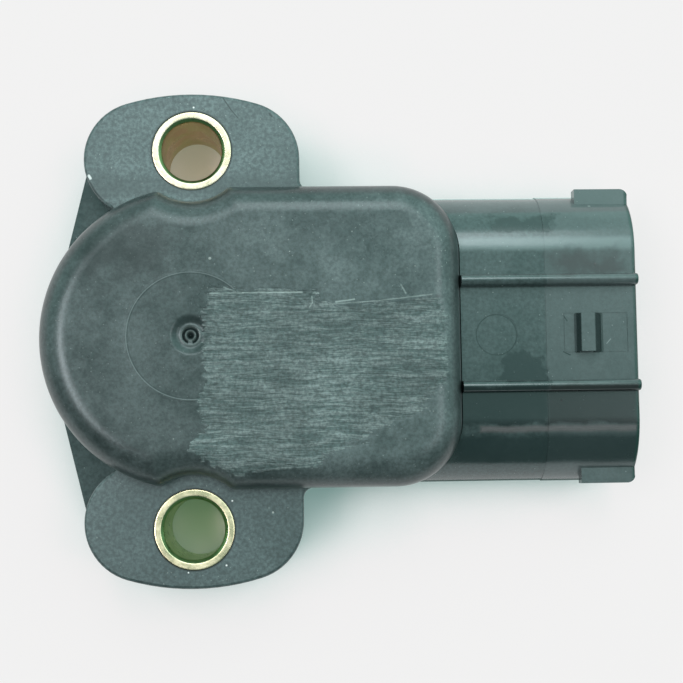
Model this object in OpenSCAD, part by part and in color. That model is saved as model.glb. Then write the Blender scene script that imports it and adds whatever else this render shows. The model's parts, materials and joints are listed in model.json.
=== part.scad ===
// Throttle position sensor: a rotary potentiometer in a moulded housing with two bushed
// mounting ears and a four-way connector.
// The origin is the rotor axis on the mounting face. +X points to the connector, +Z to the cover.

/* [Mounting ears] */
// Distance between the centres of the two mounting holes
hole_spacing = 38; // [37:0.5:40]
// Bore of each steel bushing
bushing_bore = 6; // [5.4:0.1:6.4]
// Outside diameter of each steel bushing
bushing_od = 8; // [7.6:0.1:8.4]
// Chamfer at both ends of a bushing's bore
bushing_chamfer = 0.35; // [0.2:0.05:0.5]
// Radial gap between a bushing and its hole in the ear
bushing_gap = 0.03; // [0.01:0.01:0.06]
// Height of the ears, which is also the length of the bushings
ear_h = 10; // [9.5:0.25:10.5]
// Width of an ear
ear_w = 21.7; // [20.5:0.1:22.5]
// Radius of an ear's two corners
ear_corner_r = 5.9; // [5.4:0.1:6.4]
// Radius of an ear's outer edge
ear_edge_r = 23.2; // [22.5:0.1:24]
// How far that edge lies beyond a mounting hole
ear_margin = 5.85; // [5.6:0.05:6.2]
// Fillet where an ear meets the body on the connector's side
ear_fillet = 1; // [0.6:0.1:1.4]

/* [Housing] */
// Half-width of the body, and the radius of its round end
body_r = 15.05; // [14.8:0.05:15.5]
// Distance from the rotor axis to the body's flat end
body_x = 26.7; // [26:0.1:28]
// Plan radius of the corners at the flat end
corner_r = 6.7; // [6:0.1:7.4]
// Thickness of the base plate and of the floor under the rotor
plate_h = 5.5; // [5.2:0.1:5.8]
// Thickness of the wall round the chamber
tub_wall = 1.8; // [1.7:0.1:2]
// Height of the bearing boss above the floor
boss_rise = 1.8; // [1.6:0.1:2]
// Wall of the bearing boss
boss_wall = 1.3; // [1:0.1:1.5]
// Radius of the four heat-stake posts that carry the substrate
post_r = 0.9; // [0.8:0.05:0.95]
// Angle from +X of the two posts beside the rotor, which also stop it
post_angle = 112; // [111:1:114]
// Depth of the coring pockets in the back
core_depth = 3; // [2:0.25:3.25]
// Size of a coring pocket along X
core_x = 4.2; // [3.6:0.1:4.4]
// Size of a coring pocket along Y
core_y = 5.4; // [4.6:0.1:5.6]
// Rib between two coring pockets
core_rib = 0.9; // [0.8:0.05:1.2]

/* [Back face] */
// Diameter of the pilot recess
pilot_d = 18; // [17:0.5:19]
// Depth of the pilot recess
pilot_depth = 2; // [1.5:0.1:2.2]
// Thickness of the round seal in the back face
flange_seal_t = 1.5; // [1.3:0.1:1.6]
// Mean diameter of that seal
flange_seal_d = 23.4; // [22.8:0.1:24]
// Outside diameter of the shaft seal
shaft_seal_d = 14.4; // [14:0.1:15]
// Thickness of the shaft seal
shaft_seal_t = 1.2; // [1:0.1:1.4]
// Thickness of the washer that keeps the shaft seal in
retainer_t = 0.4; // [0.3:0.05:0.5]

/* [Cover] */
// Height of the cover above the ears
cover_h = 3.8; // [3.6:0.1:4.2]
// Rounding of the cover's upper edge
cover_round = 3; // [2.7:0.1:3.1]
// Thickness of the cover's roof
cover_roof = 2; // [1.8:0.1:2.2]
// Radius of the recess round each bushing
scallop_r = 5.4; // [5.2:0.1:5.6]
// Width of the tongue under the cover's rim
tongue_w = 0.6; // [0.5:0.05:0.7]
// Height of that tongue
tongue_h = 0.5; // [0.4:0.05:0.7]
// Thickness of the sealant bead under the tongue
sealant_t = 0.4; // [0.3:0.05:0.5]
// Diameter of the dimple over the axis
dimple_d = 4.1; // [3.6:0.1:4.6]
// Depth of that dimple
dimple_depth = 0.25; // [0.15:0.05:0.35]

/* [Connector] */
// Width of the connector shroud
shroud_w = 29.5; // [28.5:0.1:29.8]
// Height of the connector shroud
shroud_h = 10.6; // [10:0.1:11]
// How much wider than high each rounded side of the shroud is
shroud_side = 1.2; // [1.1:0.05:1.3]
// Height of the shroud's middle above the mounting face
shroud_z = 6; // [5.8:0.1:6.2]
// Distance from the rotor axis to the shroud's mouth
mouth_x = 44.5; // [43.5:0.1:46]
// Wall of the shroud
shroud_wall = 1.4; // [1.2:0.1:1.5]
// Thickness of the wall behind the socket, past the body's flat end
socket_wall = 2.3; // [2:0.1:2.6]
// Where the two mould parts of the shroud meet
witness_x = 35.3; // [34:0.1:36.5]
// Step between those mould parts
witness_step = 0.07; // [0.04:0.01:0.1]
// Distance from the middle to each long rib
rib_y = 5.3; // [5:0.1:6]
// Width of a long rib
rib_w = 1.15; // [1:0.05:1.4]
// Height of a long rib above the shroud
rib_h = 1.2; // [1:0.1:1.4]
// Distance from the rotor axis to the lock nose
nose_x = 38.1; // [37.5:0.1:39]
// Length of the lock nose
nose_l = 2.7; // [2.4:0.1:3]
// Width of the lock nose
nose_w = 3.8; // [3.2:0.1:4.2]
// Height of the lock nose
nose_h = 1; // [0.8:0.1:1.2]
// Length of the side lugs
lug_l = 5.5; // [5:0.1:6]
// Height of the side lugs
lug_h = 1.4; // [1.2:0.1:1.8]
// Height of the side lugs' middle above the shroud's middle
lug_rise = 2.1; // [1.8:0.1:2.3]
// How far a side lug stands out
lug_out = 0.3; // [0.2:0.05:0.5]
// Radius of a side lug's corner at the mouth
lug_corner = 0.8; // [0.5:0.1:1]

/* [Terminals] */
// Distance between neighbouring terminals
terminal_pitch = 5; // [4.6:0.1:5.2]
// Width of a terminal blade
terminal_w = 2.2; // [1.8:0.1:2.4]
// Thickness of a terminal blade
terminal_t = 0.64; // [0.6:0.02:0.8]
// Width of a terminal's upright tail
tail_w = 1.2; // [1:0.1:1.4]
// Distance from the rotor axis to the upright tails
tail_x = 22; // [21.6:0.1:22.4]
// How far a blade's tip stays inside the mouth
blade_recess = 5.4; // [4.5:0.1:6.5]
// How far a tail stands out of the substrate
tail_proud = 0.3; // [0.2:0.05:0.35]
// Radius of a solder joint's foot
solder_r = 1; // [0.8:0.1:1.2]
// Margin of the substrate past the tails
substrate_margin = 1.6; // [1.4:0.1:2]
// Room for the potting on the rotor's side of the tails
potting_l = 1.6; // [1.2:0.1:1.8]
// Thickness of the dam that holds the potting
dam_t = 0.8; // [0.6:0.1:1]
// Height of the potting round the tails, above the base plate
potting_h = 1.9; // [1.5:0.1:2.2]

/* [Rotor] */
// Diameter of the rotor's hub
hub_d = 10; // [9.6:0.1:10.2]
// How far the hub and its seal stay behind the pilot recess
hub_set = 0.1; // [0.05:0.05:0.3]
// Diameter of the drive socket
drive_d = 7; // [6.4:0.1:7.2]
// Distance from the axis to the flat in the drive socket
drive_flat = 2.8; // [2.7:0.05:2.9]
// Running gap round the hub and the stub
running_gap = 0.05; // [0.03:0.01:0.08]
// Thickness of the rotor disc
rotor_t = 1.2; // [1:0.1:1.3]
// Gap between the rotor disc and what stands round it
rotor_clear = 0.8; // [0.7:0.05:1]
// Diameter of the rotor's upper stub
stub_d = 4; // [3.6:0.1:4.2]
// Angle that the rotor can turn through
travel = 105; // [95:1:108]
// Thickness of the thrust washer
thrust_t = 0.3; // [0.2:0.05:0.35]
// Wire diameter of the return spring
wire_d = 0.6; // [0.5:0.05:0.62]
// Length of each leg of the return spring
spring_leg = 2.2; // [1.8:0.1:2.6]
// Thickness of the wave washer
wave_t = 0.2; // [0.15:0.05:0.25]
// Room for the wave washer between the rotor and the pivot boss
wave_room = 0.7; // [0.6:0.05:0.8]
// Wall of the pivot boss under the cover
pivot_wall = 1.15; // [1:0.05:1.3]
// How far the pivot bore goes into the cover's roof
pivot_sink = 0.4; // [0.2:0.1:0.6]

/* [Tracks] */
// Thickness of the ceramic substrate
substrate_t = 0.8; // [0.7:0.05:0.9]
// Room between the substrate and the cover's roof
substrate_gap = 0.7; // [0.65:0.05:0.8]
// Thickness of the printed tracks
track_t = 0.1; // [0.08:0.01:0.14]
// Mean radius of the collector track
inner_track_r = 6.7; // [6.4:0.1:6.9]
// Width of a track
track_w = 1.2; // [1:0.1:1.3]
// Space between the two tracks
track_gap = 1; // [0.8:0.05:1.1]
// Angle by which a track runs on past the wiper's travel
track_overrun = 6; // [4:1:8]
// Width of a printed conductor
conductor_w = 0.8; // [0.6:0.1:1]
// Thickness of the wipers' spring strip
strip_t = 0.2; // [0.15:0.01:0.22]
// Width of one wiper finger
finger_w = 0.6; // [0.4:0.1:0.8]
// Length of a wiper's flat foot
foot_l = 1.2; // [1:0.1:1.6]
// Length of the rise from the foot to the contact
finger_rise_l = 2.1; // [1.8:0.1:2.4]
// Length of the contact at a finger's end
contact_l = 0.6; // [0.4:0.1:0.8]

/* [Hidden] */
$fn = 96;
lap = 0.5;
tuck = 0.005;
part_gap = 0.05;
free_gap = 0.35;
hole_y = hole_spacing / 2;
ear_arc_y = hole_y + ear_margin - ear_edge_r;
ear_corner_x = ear_w / 2 - ear_corner_r;
ear_corner_y = ear_arc_y + sqrt(pow(ear_edge_r - ear_corner_r, 2) - pow(ear_corner_x, 2));
ear_corner = [-ear_corner_x, ear_corner_y];
plate_angle = atan2(ear_corner_y, -ear_corner_x)
    + acos((body_r - ear_corner_r) / norm(ear_corner));
cover_top = ear_h + cover_h;
ceiling_z = cover_top - cover_roof;
substrate_z = ceiling_z - substrate_gap - substrate_t;
substrate_top = substrate_z + substrate_t;
track_z = substrate_z - track_t;
hub_r = hub_d / 2;
bearing_r = hub_r + running_gap;
boss_r = bearing_r + boss_wall;
bearing_top = plate_h + boss_rise;
rotor_z = bearing_top + thrust_t + part_gap;
rotor_top = rotor_z + rotor_t;
rotor_r = min(hole_y - scallop_r - rotor_clear, body_r - 2 * post_r - free_gap) - tub_wall;
stub_r = stub_d / 2;
pivot_r = stub_r + running_gap;
pivot_boss_r = pivot_r + pivot_wall;
pivot_boss_z = rotor_top + wave_room;
pivot_bore_top = ceiling_z + pivot_sink;
hub_z = pilot_depth + hub_set;
seal_z = hub_z + retainer_t;
seal_pocket_z = seal_z + shaft_seal_t;
post_orbit = rotor_r + free_gap + post_r;
dam_x = tail_x - potting_l - dam_t;
side_post = [dam_x - free_gap - 2.5 * post_r, body_r - tub_wall - 1.5 * post_r];
stake_r = post_r * 0.65;
stake_head_h = 0.35;
stop_r = body_r - tub_wall - free_gap;
post_half_angle = asin((post_r + free_gap) / post_orbit);
stop_angle = 360 - 2 * post_angle - 2 * post_half_angle - travel;
stop_start = post_angle + post_half_angle;
shroud_top = shroud_z + shroud_h / 2;
socket_x = body_x + socket_wall;
trough_z = shroud_z - terminal_t / 2 - 0.3;
potting_top = plate_h + potting_h;
groove_w = tongue_w + 2 * part_gap;
groove_z = ear_h - tongue_h - part_gap - sealant_t;
tail_top = substrate_top + tail_proud;
blade_tip_x = mouth_x - blade_recess;
wiper_rise = track_z - part_gap - rotor_top;
spring_r = boss_r + free_gap + wire_d / 2;
spring_low = plate_h + 0.1 + wire_d / 2;
spring_high = rotor_z - 0.1 - wire_d / 2;
spring_turns = 1.6;
spring_leg_r = spring_r + spring_leg;
peg_r = 0.5;
substrate_clear = 0.4;
outer_track_r = inner_track_r + track_w + track_gap;
plastic = "#46504f";
steel = "#b9b27c";

// Both ends of the object, one mirrored from the other.
module both_ends() {
  children();
  mirror([0, 1, 0]) children();
}

// An outline in Y and Z, drawn about the shroud's middle and carried along X.
module along_x(from, to) {
  translate([from, 0, shroud_z]) rotate([90, 0, 90]) linear_extrude(to - from) children();
}

// Section of the shroud: flat above and below, and at each side two arcs that leave the flats
// smoothly and meet in the mould's parting line.
module shroud_section(inset) {
  w = shroud_w - 2 * inset;
  h = shroud_h - 2 * inset;
  bend = shroud_side * shroud_h / 2 - inset;
  bend_r = (bend * bend + h * h / 4) / h;
  square([w - 2 * bend, h], center = true);
  for (side = [-1, 1]) translate([side * (w / 2 - bend), 0]) intersection() {
    translate([0, h / 2 - bend_r]) circle(r = bend_r);
    translate([0, bend_r - h / 2]) circle(r = bend_r);
  }
}

module ring(outer_r, inner_r, h) {
  difference() {
    cylinder(r = outer_r, h = h);
    translate([0, 0, -lap]) cylinder(r = inner_r, h = h + 2 * lap);
  }
}

// Plan of the body: a round end on the axis and a flat end with round corners.
module body_outline(inset) {
  circle(r = body_r - inset);
  translate([0, inset - body_r]) square([body_x - corner_r, 2 * (body_r - inset)]);
  translate([0, corner_r - body_r]) square([body_x - inset, 2 * (body_r - corner_r)]);
  for (side = [-1, 1])
    translate([body_x - corner_r, side * (body_r - corner_r)]) circle(r = corner_r - inset);
}

// Plan of the cover: the body's plan less a round recess at each bushing.
module cover_outline(inset) {
  difference() {
    body_outline(inset);
    for (side = [-1, 1]) translate([0, side * hole_y]) circle(r = scallop_r + inset);
  }
}

// Plan of one ear. Its outer edge is one arc that runs into the two corner circles.
module ear_outline() {
  reach = 1.2 * ear_edge_r / (ear_edge_r - ear_corner_r);
  wedge_y = ear_arc_y + reach * (ear_corner_y - ear_arc_y);
  intersection() {
    translate([0, ear_arc_y]) circle(r = ear_edge_r);
    polygon([[0, ear_arc_y], [reach * ear_corner_x, wedge_y], [-reach * ear_corner_x, wedge_y]]);
  }
  for (side = [-1, 1]) translate([side * ear_corner_x, ear_corner_y]) circle(r = ear_corner_r);
  translate([-ear_corner_x, 0]) square([ear_corner_x + ear_w / 2, ear_corner_y]);
  translate([ear_w / 2, body_r]) difference() {
    translate([-lap, -lap]) square(ear_fillet + lap);
    translate([ear_fillet, ear_fillet]) circle(r = ear_fillet);
  }
}

// Plan of the thin web on the round side, between an ear's corner and the body.
// Its edge runs a hair inside the two arcs, so that it crosses both of them.
module web_outline() {
  out = [cos(plate_angle), sin(plate_angle)];
  polygon([[0, 0], (body_r - tuck) * out, ear_corner + (ear_corner_r - tuck) * out, ear_corner]);
}

module bushing_hole() {
  translate([0, hole_y, -lap]) cylinder(d = bushing_od + 2 * bushing_gap, h = ear_h + 2 * lap);
}

module post(place) {
  translate(place) {
    translate([0, 0, plate_h - lap]) cylinder(r = post_r, h = substrate_z - plate_h + lap);
    translate([0, 0, substrate_z - lap]) cylinder(r = stake_r, h = substrate_t + 2 * lap - 0.2);
    translate([0, 0, substrate_top + part_gap]) cylinder(r = post_r, h = stake_head_h);
  }
}

function rotor_post() = post_orbit * [cos(post_angle), sin(post_angle)];

module shroud_body() {
  along_x(body_x - corner_r, witness_x + lap) shroud_section(witness_step);
  along_x(witness_x, mouth_x) shroud_section(0);
  both_ends() along_x(body_x, mouth_x) translate([rib_y, shroud_h / 2]) {
    translate([-rib_w / 2, -lap]) square([rib_w, rib_h - rib_w / 2 + lap]);
    translate([0, rib_h - rib_w / 2]) circle(d = rib_w);
  }
}

module lock_nose() {
  low = shroud_top - lap;
  high = shroud_top + nose_h;
  front = 0.18 * nose_l;
  back = 0.28 * nose_l;
  translate([0, nose_w / 2, 0]) rotate([90, 0, 0]) linear_extrude(nose_w)
    polygon([[nose_x, low], [nose_x, shroud_top], [nose_x + front, high],
      [nose_x + nose_l - back, high], [nose_x + nose_l, shroud_top], [nose_x + nose_l, low]]);
}

// A rail on the shroud's side that ends in a rounded corner at the mouth.
module side_lug() {
  edge = shroud_w / 2 + lug_out;
  base = edge - lug_out - shroud_wall;
  translate([0, 0, shroud_z + lug_rise - lug_h / 2]) linear_extrude(lug_h) {
    translate([mouth_x - lug_l, base]) square([lug_l - lug_corner, edge - base]);
    translate([mouth_x - lug_corner - lap, base]) square([lug_corner + lap, edge - base - lug_corner]);
    translate([mouth_x - lug_corner, edge - lug_corner]) circle(r = lug_corner);
  }
}

module socket() {
  along_x(socket_x, mouth_x + lap)
    shroud_section(shroud_wall);
}

module terminal_slots() {
  for (i = [0:3]) translate([dam_x, terminal_y(i), shroud_z])
    translate([0, -terminal_w / 2 - part_gap, -terminal_t / 2 - part_gap])
      cube([socket_x + lap - dam_x, terminal_w + 2 * part_gap, terminal_t + 2 * part_gap]);
}

// A shallow frame left by the mould insert round the lock nose.
module insert_line() {
  line = 0.1;
  frame_l = 2.4 * nose_l;
  frame_w = nose_w + 2 * line;
  translate([nose_x - 0.4 * nose_l, -frame_w / 2, shroud_top - 0.06]) linear_extrude(lap)
    difference() {
      square([frame_l, frame_w]);
      translate([line, line]) square([frame_l - 2 * line, frame_w - 2 * line]);
    }
}

module coring() {
  first_x = body_x - 1.7 - 2 * core_x - core_rib;
  translate([0, 0, -lap]) linear_extrude(core_depth + lap) intersection() {
    body_outline(tub_wall);
    for (column = [0, 1], row = [-2:1])
      translate([first_x + column * (core_x + core_rib), core_rib / 2 + row * (core_y + core_rib)])
        square([core_x, core_y]);
  }
}

module chamber() {
  translate([0, 0, plate_h]) linear_extrude(ear_h) cover_outline(tub_wall);
  translate([0, 0, trough_z]) linear_extrude(ear_h) intersection() {
    cover_outline(tub_wall);
    translate([dam_x + dam_t, -body_r]) square([body_x, 2 * body_r]);
  }
}

// The dam holds the potting in on the rotor's side.
module dam() {
  translate([0, 0, plate_h - lap]) linear_extrude(potting_h + 2 * lap) intersection() {
    body_outline(tub_wall - lap);
    translate([dam_x, -body_r]) square([dam_t, 2 * body_r]);
  }
}

module housing() {
  color(plastic) {
    difference() {
      union() {
        difference() {
          union() {
            linear_extrude(plate_h) {
              body_outline(0);
              both_ends() web_outline();
            }
            linear_extrude(ear_h) {
              body_outline(0);
              both_ends() ear_outline();
            }
            shroud_body();
            lock_nose();
            both_ends() side_lug();
          }
          translate([0, 0, ear_h]) linear_extrude(cover_h + lap) body_outline(-part_gap);
          chamber();
        }
        translate([0, 0, plate_h - lap]) cylinder(r = boss_r, h = boss_rise + lap);
        dam();
      }
      both_ends() bushing_hole();
      socket();
      terminal_slots();
      insert_line();
      coring();
      translate([body_x + 0.35 * shroud_h, 0, shroud_top - witness_step - 0.04])
        cylinder(r = 0.19 * shroud_h, h = lap);
      translate([0, 0, groove_z]) linear_extrude(ear_h) difference() {
        cover_outline((tub_wall - groove_w) / 2);
        cover_outline((tub_wall + groove_w) / 2);
      }
      translate([0, 0, -lap]) cylinder(d = pilot_d, h = pilot_depth + lap);
      translate([0, 0, -lap]) cylinder(d = shaft_seal_d, h = seal_pocket_z + lap);
      translate([0, 0, -lap]) cylinder(r = bearing_r, h = ear_h);
      translate([0, 0, -lap]) ring((flange_seal_d + flange_seal_t) / 2 + part_gap,
        (flange_seal_d - flange_seal_t) / 2 - part_gap, flange_seal_t + lap);
    }
    both_ends() {
      post(rotor_post());
      post(side_post);
    }
    spring_peg(-post_angle / 2, plate_h - lap, rotor_z - free_gap);
  }
}

// Half of the cover's upright section, from the middle out to r.
module rounded_section(r) {
  square([r, cover_h - cover_round]);
  square([r - cover_round, cover_h]);
  translate([r - cover_round, cover_h - cover_round]) intersection() {
    circle(r = cover_round);
    square(cover_round);
  }
}

module cover_block() {
  rotate_extrude() rounded_section(body_r);
  rotate([90, 0, 90]) linear_extrude(body_x - corner_r) {
    rounded_section(body_r);
    mirror([1, 0]) rounded_section(body_r);
  }
  translate([0, body_r - corner_r, 0]) rotate([90, 0, 0])
    linear_extrude(2 * (body_r - corner_r)) rounded_section(body_x);
  for (side = [-1, 1]) translate([body_x - corner_r, side * (body_r - corner_r), 0])
    rotate_extrude() rounded_section(corner_r);
}

// What is cut away round a bushing: a hole that flares out by the cover's rounding.
module scallop() {
  translate([0, hole_y, 0]) rotate_extrude() difference() {
    translate([0, -lap]) square([scallop_r + cover_round, cover_h + 2 * lap]);
    translate([scallop_r, -2 * lap]) square([cover_round + lap, cover_h - cover_round + 2 * lap]);
    translate([scallop_r + cover_round, cover_h - cover_round]) circle(r = cover_round);
  }
}

module cover() {
  color(plastic) difference() {
    union() {
      translate([0, 0, ear_h]) difference() {
        cover_block();
        both_ends() scallop();
        translate([0, 0, -lap]) linear_extrude(cover_h - cover_roof + lap) cover_outline(tub_wall);
      }
      translate([0, 0, ear_h - tongue_h]) linear_extrude(tongue_h + lap) difference() {
        cover_outline((tub_wall - tongue_w) / 2);
        cover_outline((tub_wall + tongue_w) / 2);
      }
      translate([0, 0, pivot_boss_z])
        cylinder(r = pivot_boss_r, h = ceiling_z - pivot_boss_z + lap);
    }
    translate([0, 0, pivot_boss_z - lap])
      cylinder(r = pivot_r, h = pivot_bore_top - pivot_boss_z + lap);
    translate([0, 0, cover_top - dimple_depth]) cylinder(d = dimple_d, h = lap);
  }
}

module cover_sealant() {
  color("#20241f") translate([0, 0, groove_z]) linear_extrude(sealant_t) difference() {
    cover_outline((tub_wall - groove_w) / 2);
    cover_outline((tub_wall + groove_w) / 2);
  }
}

module bushing() {
  wall = (bushing_od - bushing_bore) / 2;
  color(steel) translate([0, hole_y, 0]) rotate_extrude() translate([bushing_bore / 2, 0])
    polygon([[bushing_chamfer, 0], [wall, 0], [wall, ear_h], [bushing_chamfer, ear_h],
      [0, ear_h - bushing_chamfer], [0, bushing_chamfer]]);
}

module upper_bushing() {
  bushing();
}

module lower_bushing() {
  mirror([0, 1, 0]) bushing();
}

module spring_peg(angle, low, high) {
  rotate(angle) translate([spring_leg_r - peg_r, -wire_d / 2 - peg_r - part_gap, low])
    cylinder(r = peg_r, h = high - low);
}

// The lug on the rim that meets the posts at the two ends of the travel.
module stop_lug() {
  difference() {
    intersection() {
      cylinder(r = stop_r, h = rotor_t);
      rotate(stop_start + stop_angle / 2) linear_extrude(rotor_t)
        polygon([[0, 0], 2 * stop_r * [cos(stop_angle / 2), -sin(stop_angle / 2)],
          2 * stop_r * [cos(stop_angle / 2), sin(stop_angle / 2)]]);
    }
    translate([0, 0, -lap]) cylinder(r = hub_r, h = rotor_t + 2 * lap);
  }
}

module rotor() {
  color("#d8d2bd") {
    difference() {
      union() {
        translate([0, 0, hub_z]) cylinder(r = hub_r, h = rotor_top - hub_z);
        translate([0, 0, rotor_z]) cylinder(r = rotor_r, h = rotor_t);
        translate([0, 0, rotor_z]) stop_lug();
        translate([0, 0, rotor_top - lap]) cylinder(r = stub_r, h = pivot_bore_top - rotor_top);
      }
      translate([0, 0, hub_z - lap]) linear_extrude(rotor_z - hub_z + lap) difference() {
        circle(d = drive_d);
        translate([drive_flat, -drive_d]) square([drive_d, 2 * drive_d]);
      }
    }
    spring_peg(spring_turns * 360 - post_angle / 2, plate_h + free_gap, rotor_z + lap);
  }
}

// The spring's wire runs in from one leg, round the boss and out along the other leg.
module return_spring() {
  sides = 8;
  steps = 60;
  sweep = spring_turns * 360;
  function along(i) = min(max((i - 1) / (steps - 2), 0), 1);
  function leg(i) = i == 0 || i == steps ? spring_leg_r : spring_r;
  function centre(i) = let(a = along(i) * sweep - post_angle / 2)
    [leg(i) * cos(a), leg(i) * sin(a), spring_low + along(i) * (spring_high - spring_low)];
  function heading(i) = centre(min(i + 1, steps)) - centre(max(i - 1, 0));
  function wall_point(i, k) = let(t = heading(i), across = [-t[1], t[0], 0] / norm([t[0], t[1]]))
    centre(i) + wire_d / 2 * (cos(360 * k / sides) * across + sin(360 * k / sides) * [0, 0, 1]);
  points = [for (i = [0:steps], k = [0:sides - 1]) wall_point(i, k)];
  sides_faces = [for (i = [0:steps - 1], k = [0:sides - 1]) let(n = (k + 1) % sides)
    [i * sides + k, i * sides + n, (i + 1) * sides + n, (i + 1) * sides + k]];
  caps = [[for (k = [sides - 1:-1:0]) k], [for (k = [0:sides - 1]) steps * sides + k]];
  color("#9aa0a3") polyhedron(points, concat(sides_faces, caps));
}

module thrust_washer() {
  color("#a98246") translate([0, 0, bearing_top]) ring(boss_r, bearing_r + part_gap, thrust_t);
}

// The wave washer: a flat ring whose height follows three waves round the axis.
module wave_washer() {
  steps = 72;
  room = pivot_boss_z - rotor_top;
  swing = (room - wave_t) / 2 - 0.02;
  inner = stub_r + 2 * part_gap;
  outer = pivot_boss_r - part_gap;
  function rim(r, a, z) = [r * cos(a), r * sin(a), z + rotor_top + room / 2 + swing * cos(3 * a)];
  points = [for (i = [0:steps - 1]) let(a = 360 * i / steps)
    each [rim(inner, a, -wave_t / 2), rim(outer, a, -wave_t / 2),
      rim(outer, a, wave_t / 2), rim(inner, a, wave_t / 2)]];
  faces = [for (i = [0:steps - 1], k = [0:3]) let(j = (i + 1) % steps, n = (k + 1) % 4)
    each [[4 * i + k, 4 * j + k, 4 * j + n], [4 * i + k, 4 * j + n, 4 * i + n]]];
  color("#c7c9c8") polyhedron(points, faces);
}

module shaft_seal() {
  inner = hub_r + running_gap;
  outer = shaft_seal_d / 2;
  lip = 0.4;
  color("#1d1f1f") translate([0, 0, seal_z]) rotate_extrude()
    polygon([[inner + lip, 0], [outer, 0], [outer, shaft_seal_t], [inner + lip, shaft_seal_t],
      [inner + lip, shaft_seal_t * 0.7], [inner, shaft_seal_t * 0.6],
      [inner, shaft_seal_t * 0.4], [inner + lip, shaft_seal_t * 0.3]]);
}

module seal_retainer() {
  color("#a7abad") translate([0, 0, hub_z]) ring(shaft_seal_d / 2, hub_r + free_gap, retainer_t);
}

module flange_seal() {
  color("#1d1f1f") rotate_extrude()
    translate([flange_seal_d / 2, flange_seal_t / 2]) circle(d = flange_seal_t);
}

module stake_holes() {
  both_ends() for (place = [rotor_post(), side_post]) translate(place) circle(r = stake_r + part_gap);
}

module substrate() {
  color("#e4e2d8") translate([0, 0, substrate_z]) linear_extrude(substrate_t) difference() {
    intersection() {
      cover_outline(tub_wall + substrate_clear);
      translate([-body_r, -body_r]) square([body_r + tail_x + substrate_margin, 2 * body_r]);
    }
    circle(r = pivot_boss_r + free_gap);
    stake_holes();
    for (i = [0:3]) translate([tail_x, terminal_y(i)])
      square([terminal_t + 2 * part_gap, tail_w + 2 * part_gap], center = true);
  }
}

// A printed arc on the substrate's face, from one angle to another.
module track_arc(r, from, to) {
  translate([0, 0, track_z]) rotate(from) rotate_extrude(angle = to - from)
    translate([r - track_w / 2, 0]) square([track_w, track_t]);
}

module resistance_track() {
  color("#26221f") track_arc(outer_track_r, -travel / 2 - track_overrun, travel / 2 + track_overrun);
}

module collector_track() {
  color("#c9c6bd") track_arc(inner_track_r, -travel / 2 - track_overrun, travel / 2 + track_overrun);
}

module idle_track() {
  color("#c9c6bd") for (r = [inner_track_r, outer_track_r])
    track_arc(r, 180 - travel / 2 - track_overrun, 180 - travel / 2 + 2 * track_overrun);
}

// A printed lead from beside the resistance track's end to the first terminal.
module track_lead() {
  edge_r = outer_track_r + track_w / 2 + part_gap;
  start = edge_r * [cos(travel / 2 + track_overrun), sin(travel / 2 + track_overrun)];
  goal = [tail_x - solder_r - part_gap, terminal_y(0)];
  half_w = conductor_w / 2;
  linear_extrude(track_t) difference() {
    polygon([[0, start[1]], start, goal + [0, half_w], goal - [0, half_w],
      start - [0, conductor_w], [0, start[1] - conductor_w]]);
    circle(r = edge_r);
  }
}

module upper_lead(y) {
  translate([inner_track_r, y - conductor_w / 2, substrate_top])
    cube([tail_x - solder_r - part_gap - inner_track_r, conductor_w, track_t]);
}

// Two printed leads run from the resistance track's ends and two lie on the upper side.
module conductors() {
  color("#c9c6bd") {
    translate([0, 0, track_z]) both_ends() track_lead();
    upper_lead(terminal_y(1));
    upper_lead(terminal_y(2));
  }
}

// A bent spring strip that stands on the rotor and presses on one track.
module finger(r) {
  top = wiper_rise;
  bend = finger_rise_l - foot_l / 3;
  translate([r - finger_w / 2, 0, rotor_top]) rotate([90, 0, 90]) linear_extrude(finger_w)
    polygon([[-foot_l, 0], [0, 0], [bend, top - strip_t], [bend + contact_l, top - strip_t],
      [bend + contact_l, top], [bend - strip_t / 2, top], [-strip_t / 2, strip_t],
      [-foot_l, strip_t]]);
}

module wiper(angle) {
  rotate(angle) {
    finger(inner_track_r);
    finger(outer_track_r);
    translate([inner_track_r - finger_w / 2, -foot_l, rotor_top])
      cube([outer_track_r - inner_track_r + finger_w, foot_l * 0.8, strip_t]);
  }
}

module signal_wiper() {
  color("#c8a15a") wiper(-travel / 2);
}

module idle_wiper() {
  color("#c8a15a") wiper(180 - travel / 2);
}

function terminal_y(i) = (1.5 - i) * terminal_pitch;

module terminal(i) {
  tip = 0.8;
  color("#b9b7a8") translate([0, terminal_y(i), 0]) {
    translate([0, 0, shroud_z - terminal_t / 2]) linear_extrude(terminal_t)
      polygon([[tail_x - terminal_t / 2, -terminal_w / 2], [blade_tip_x - tip, -terminal_w / 2],
        [blade_tip_x, -terminal_w / 4], [blade_tip_x, terminal_w / 4],
        [blade_tip_x - tip, terminal_w / 2], [tail_x - terminal_t / 2, terminal_w / 2]]);
    translate([tail_x - terminal_t / 2, -tail_w / 2, shroud_z])
      cube([terminal_t, tail_w, tail_top - shroud_z]);
  }
}

module terminal_supply() {
  terminal(0);
}

module terminal_signal() {
  terminal(1);
}

module terminal_idle() {
  terminal(2);
}

module terminal_ground() {
  terminal(3);
}

module solder_joints() {
  color("#b5b8ba") for (i = [0:3]) translate([tail_x, terminal_y(i), substrate_top]) difference() {
    cylinder(r1 = solder_r, r2 = 0.75 * solder_r, h = tail_proud - part_gap);
    cube([terminal_t, tail_w, 4 * tail_proud], center = true);
  }
}

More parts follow.
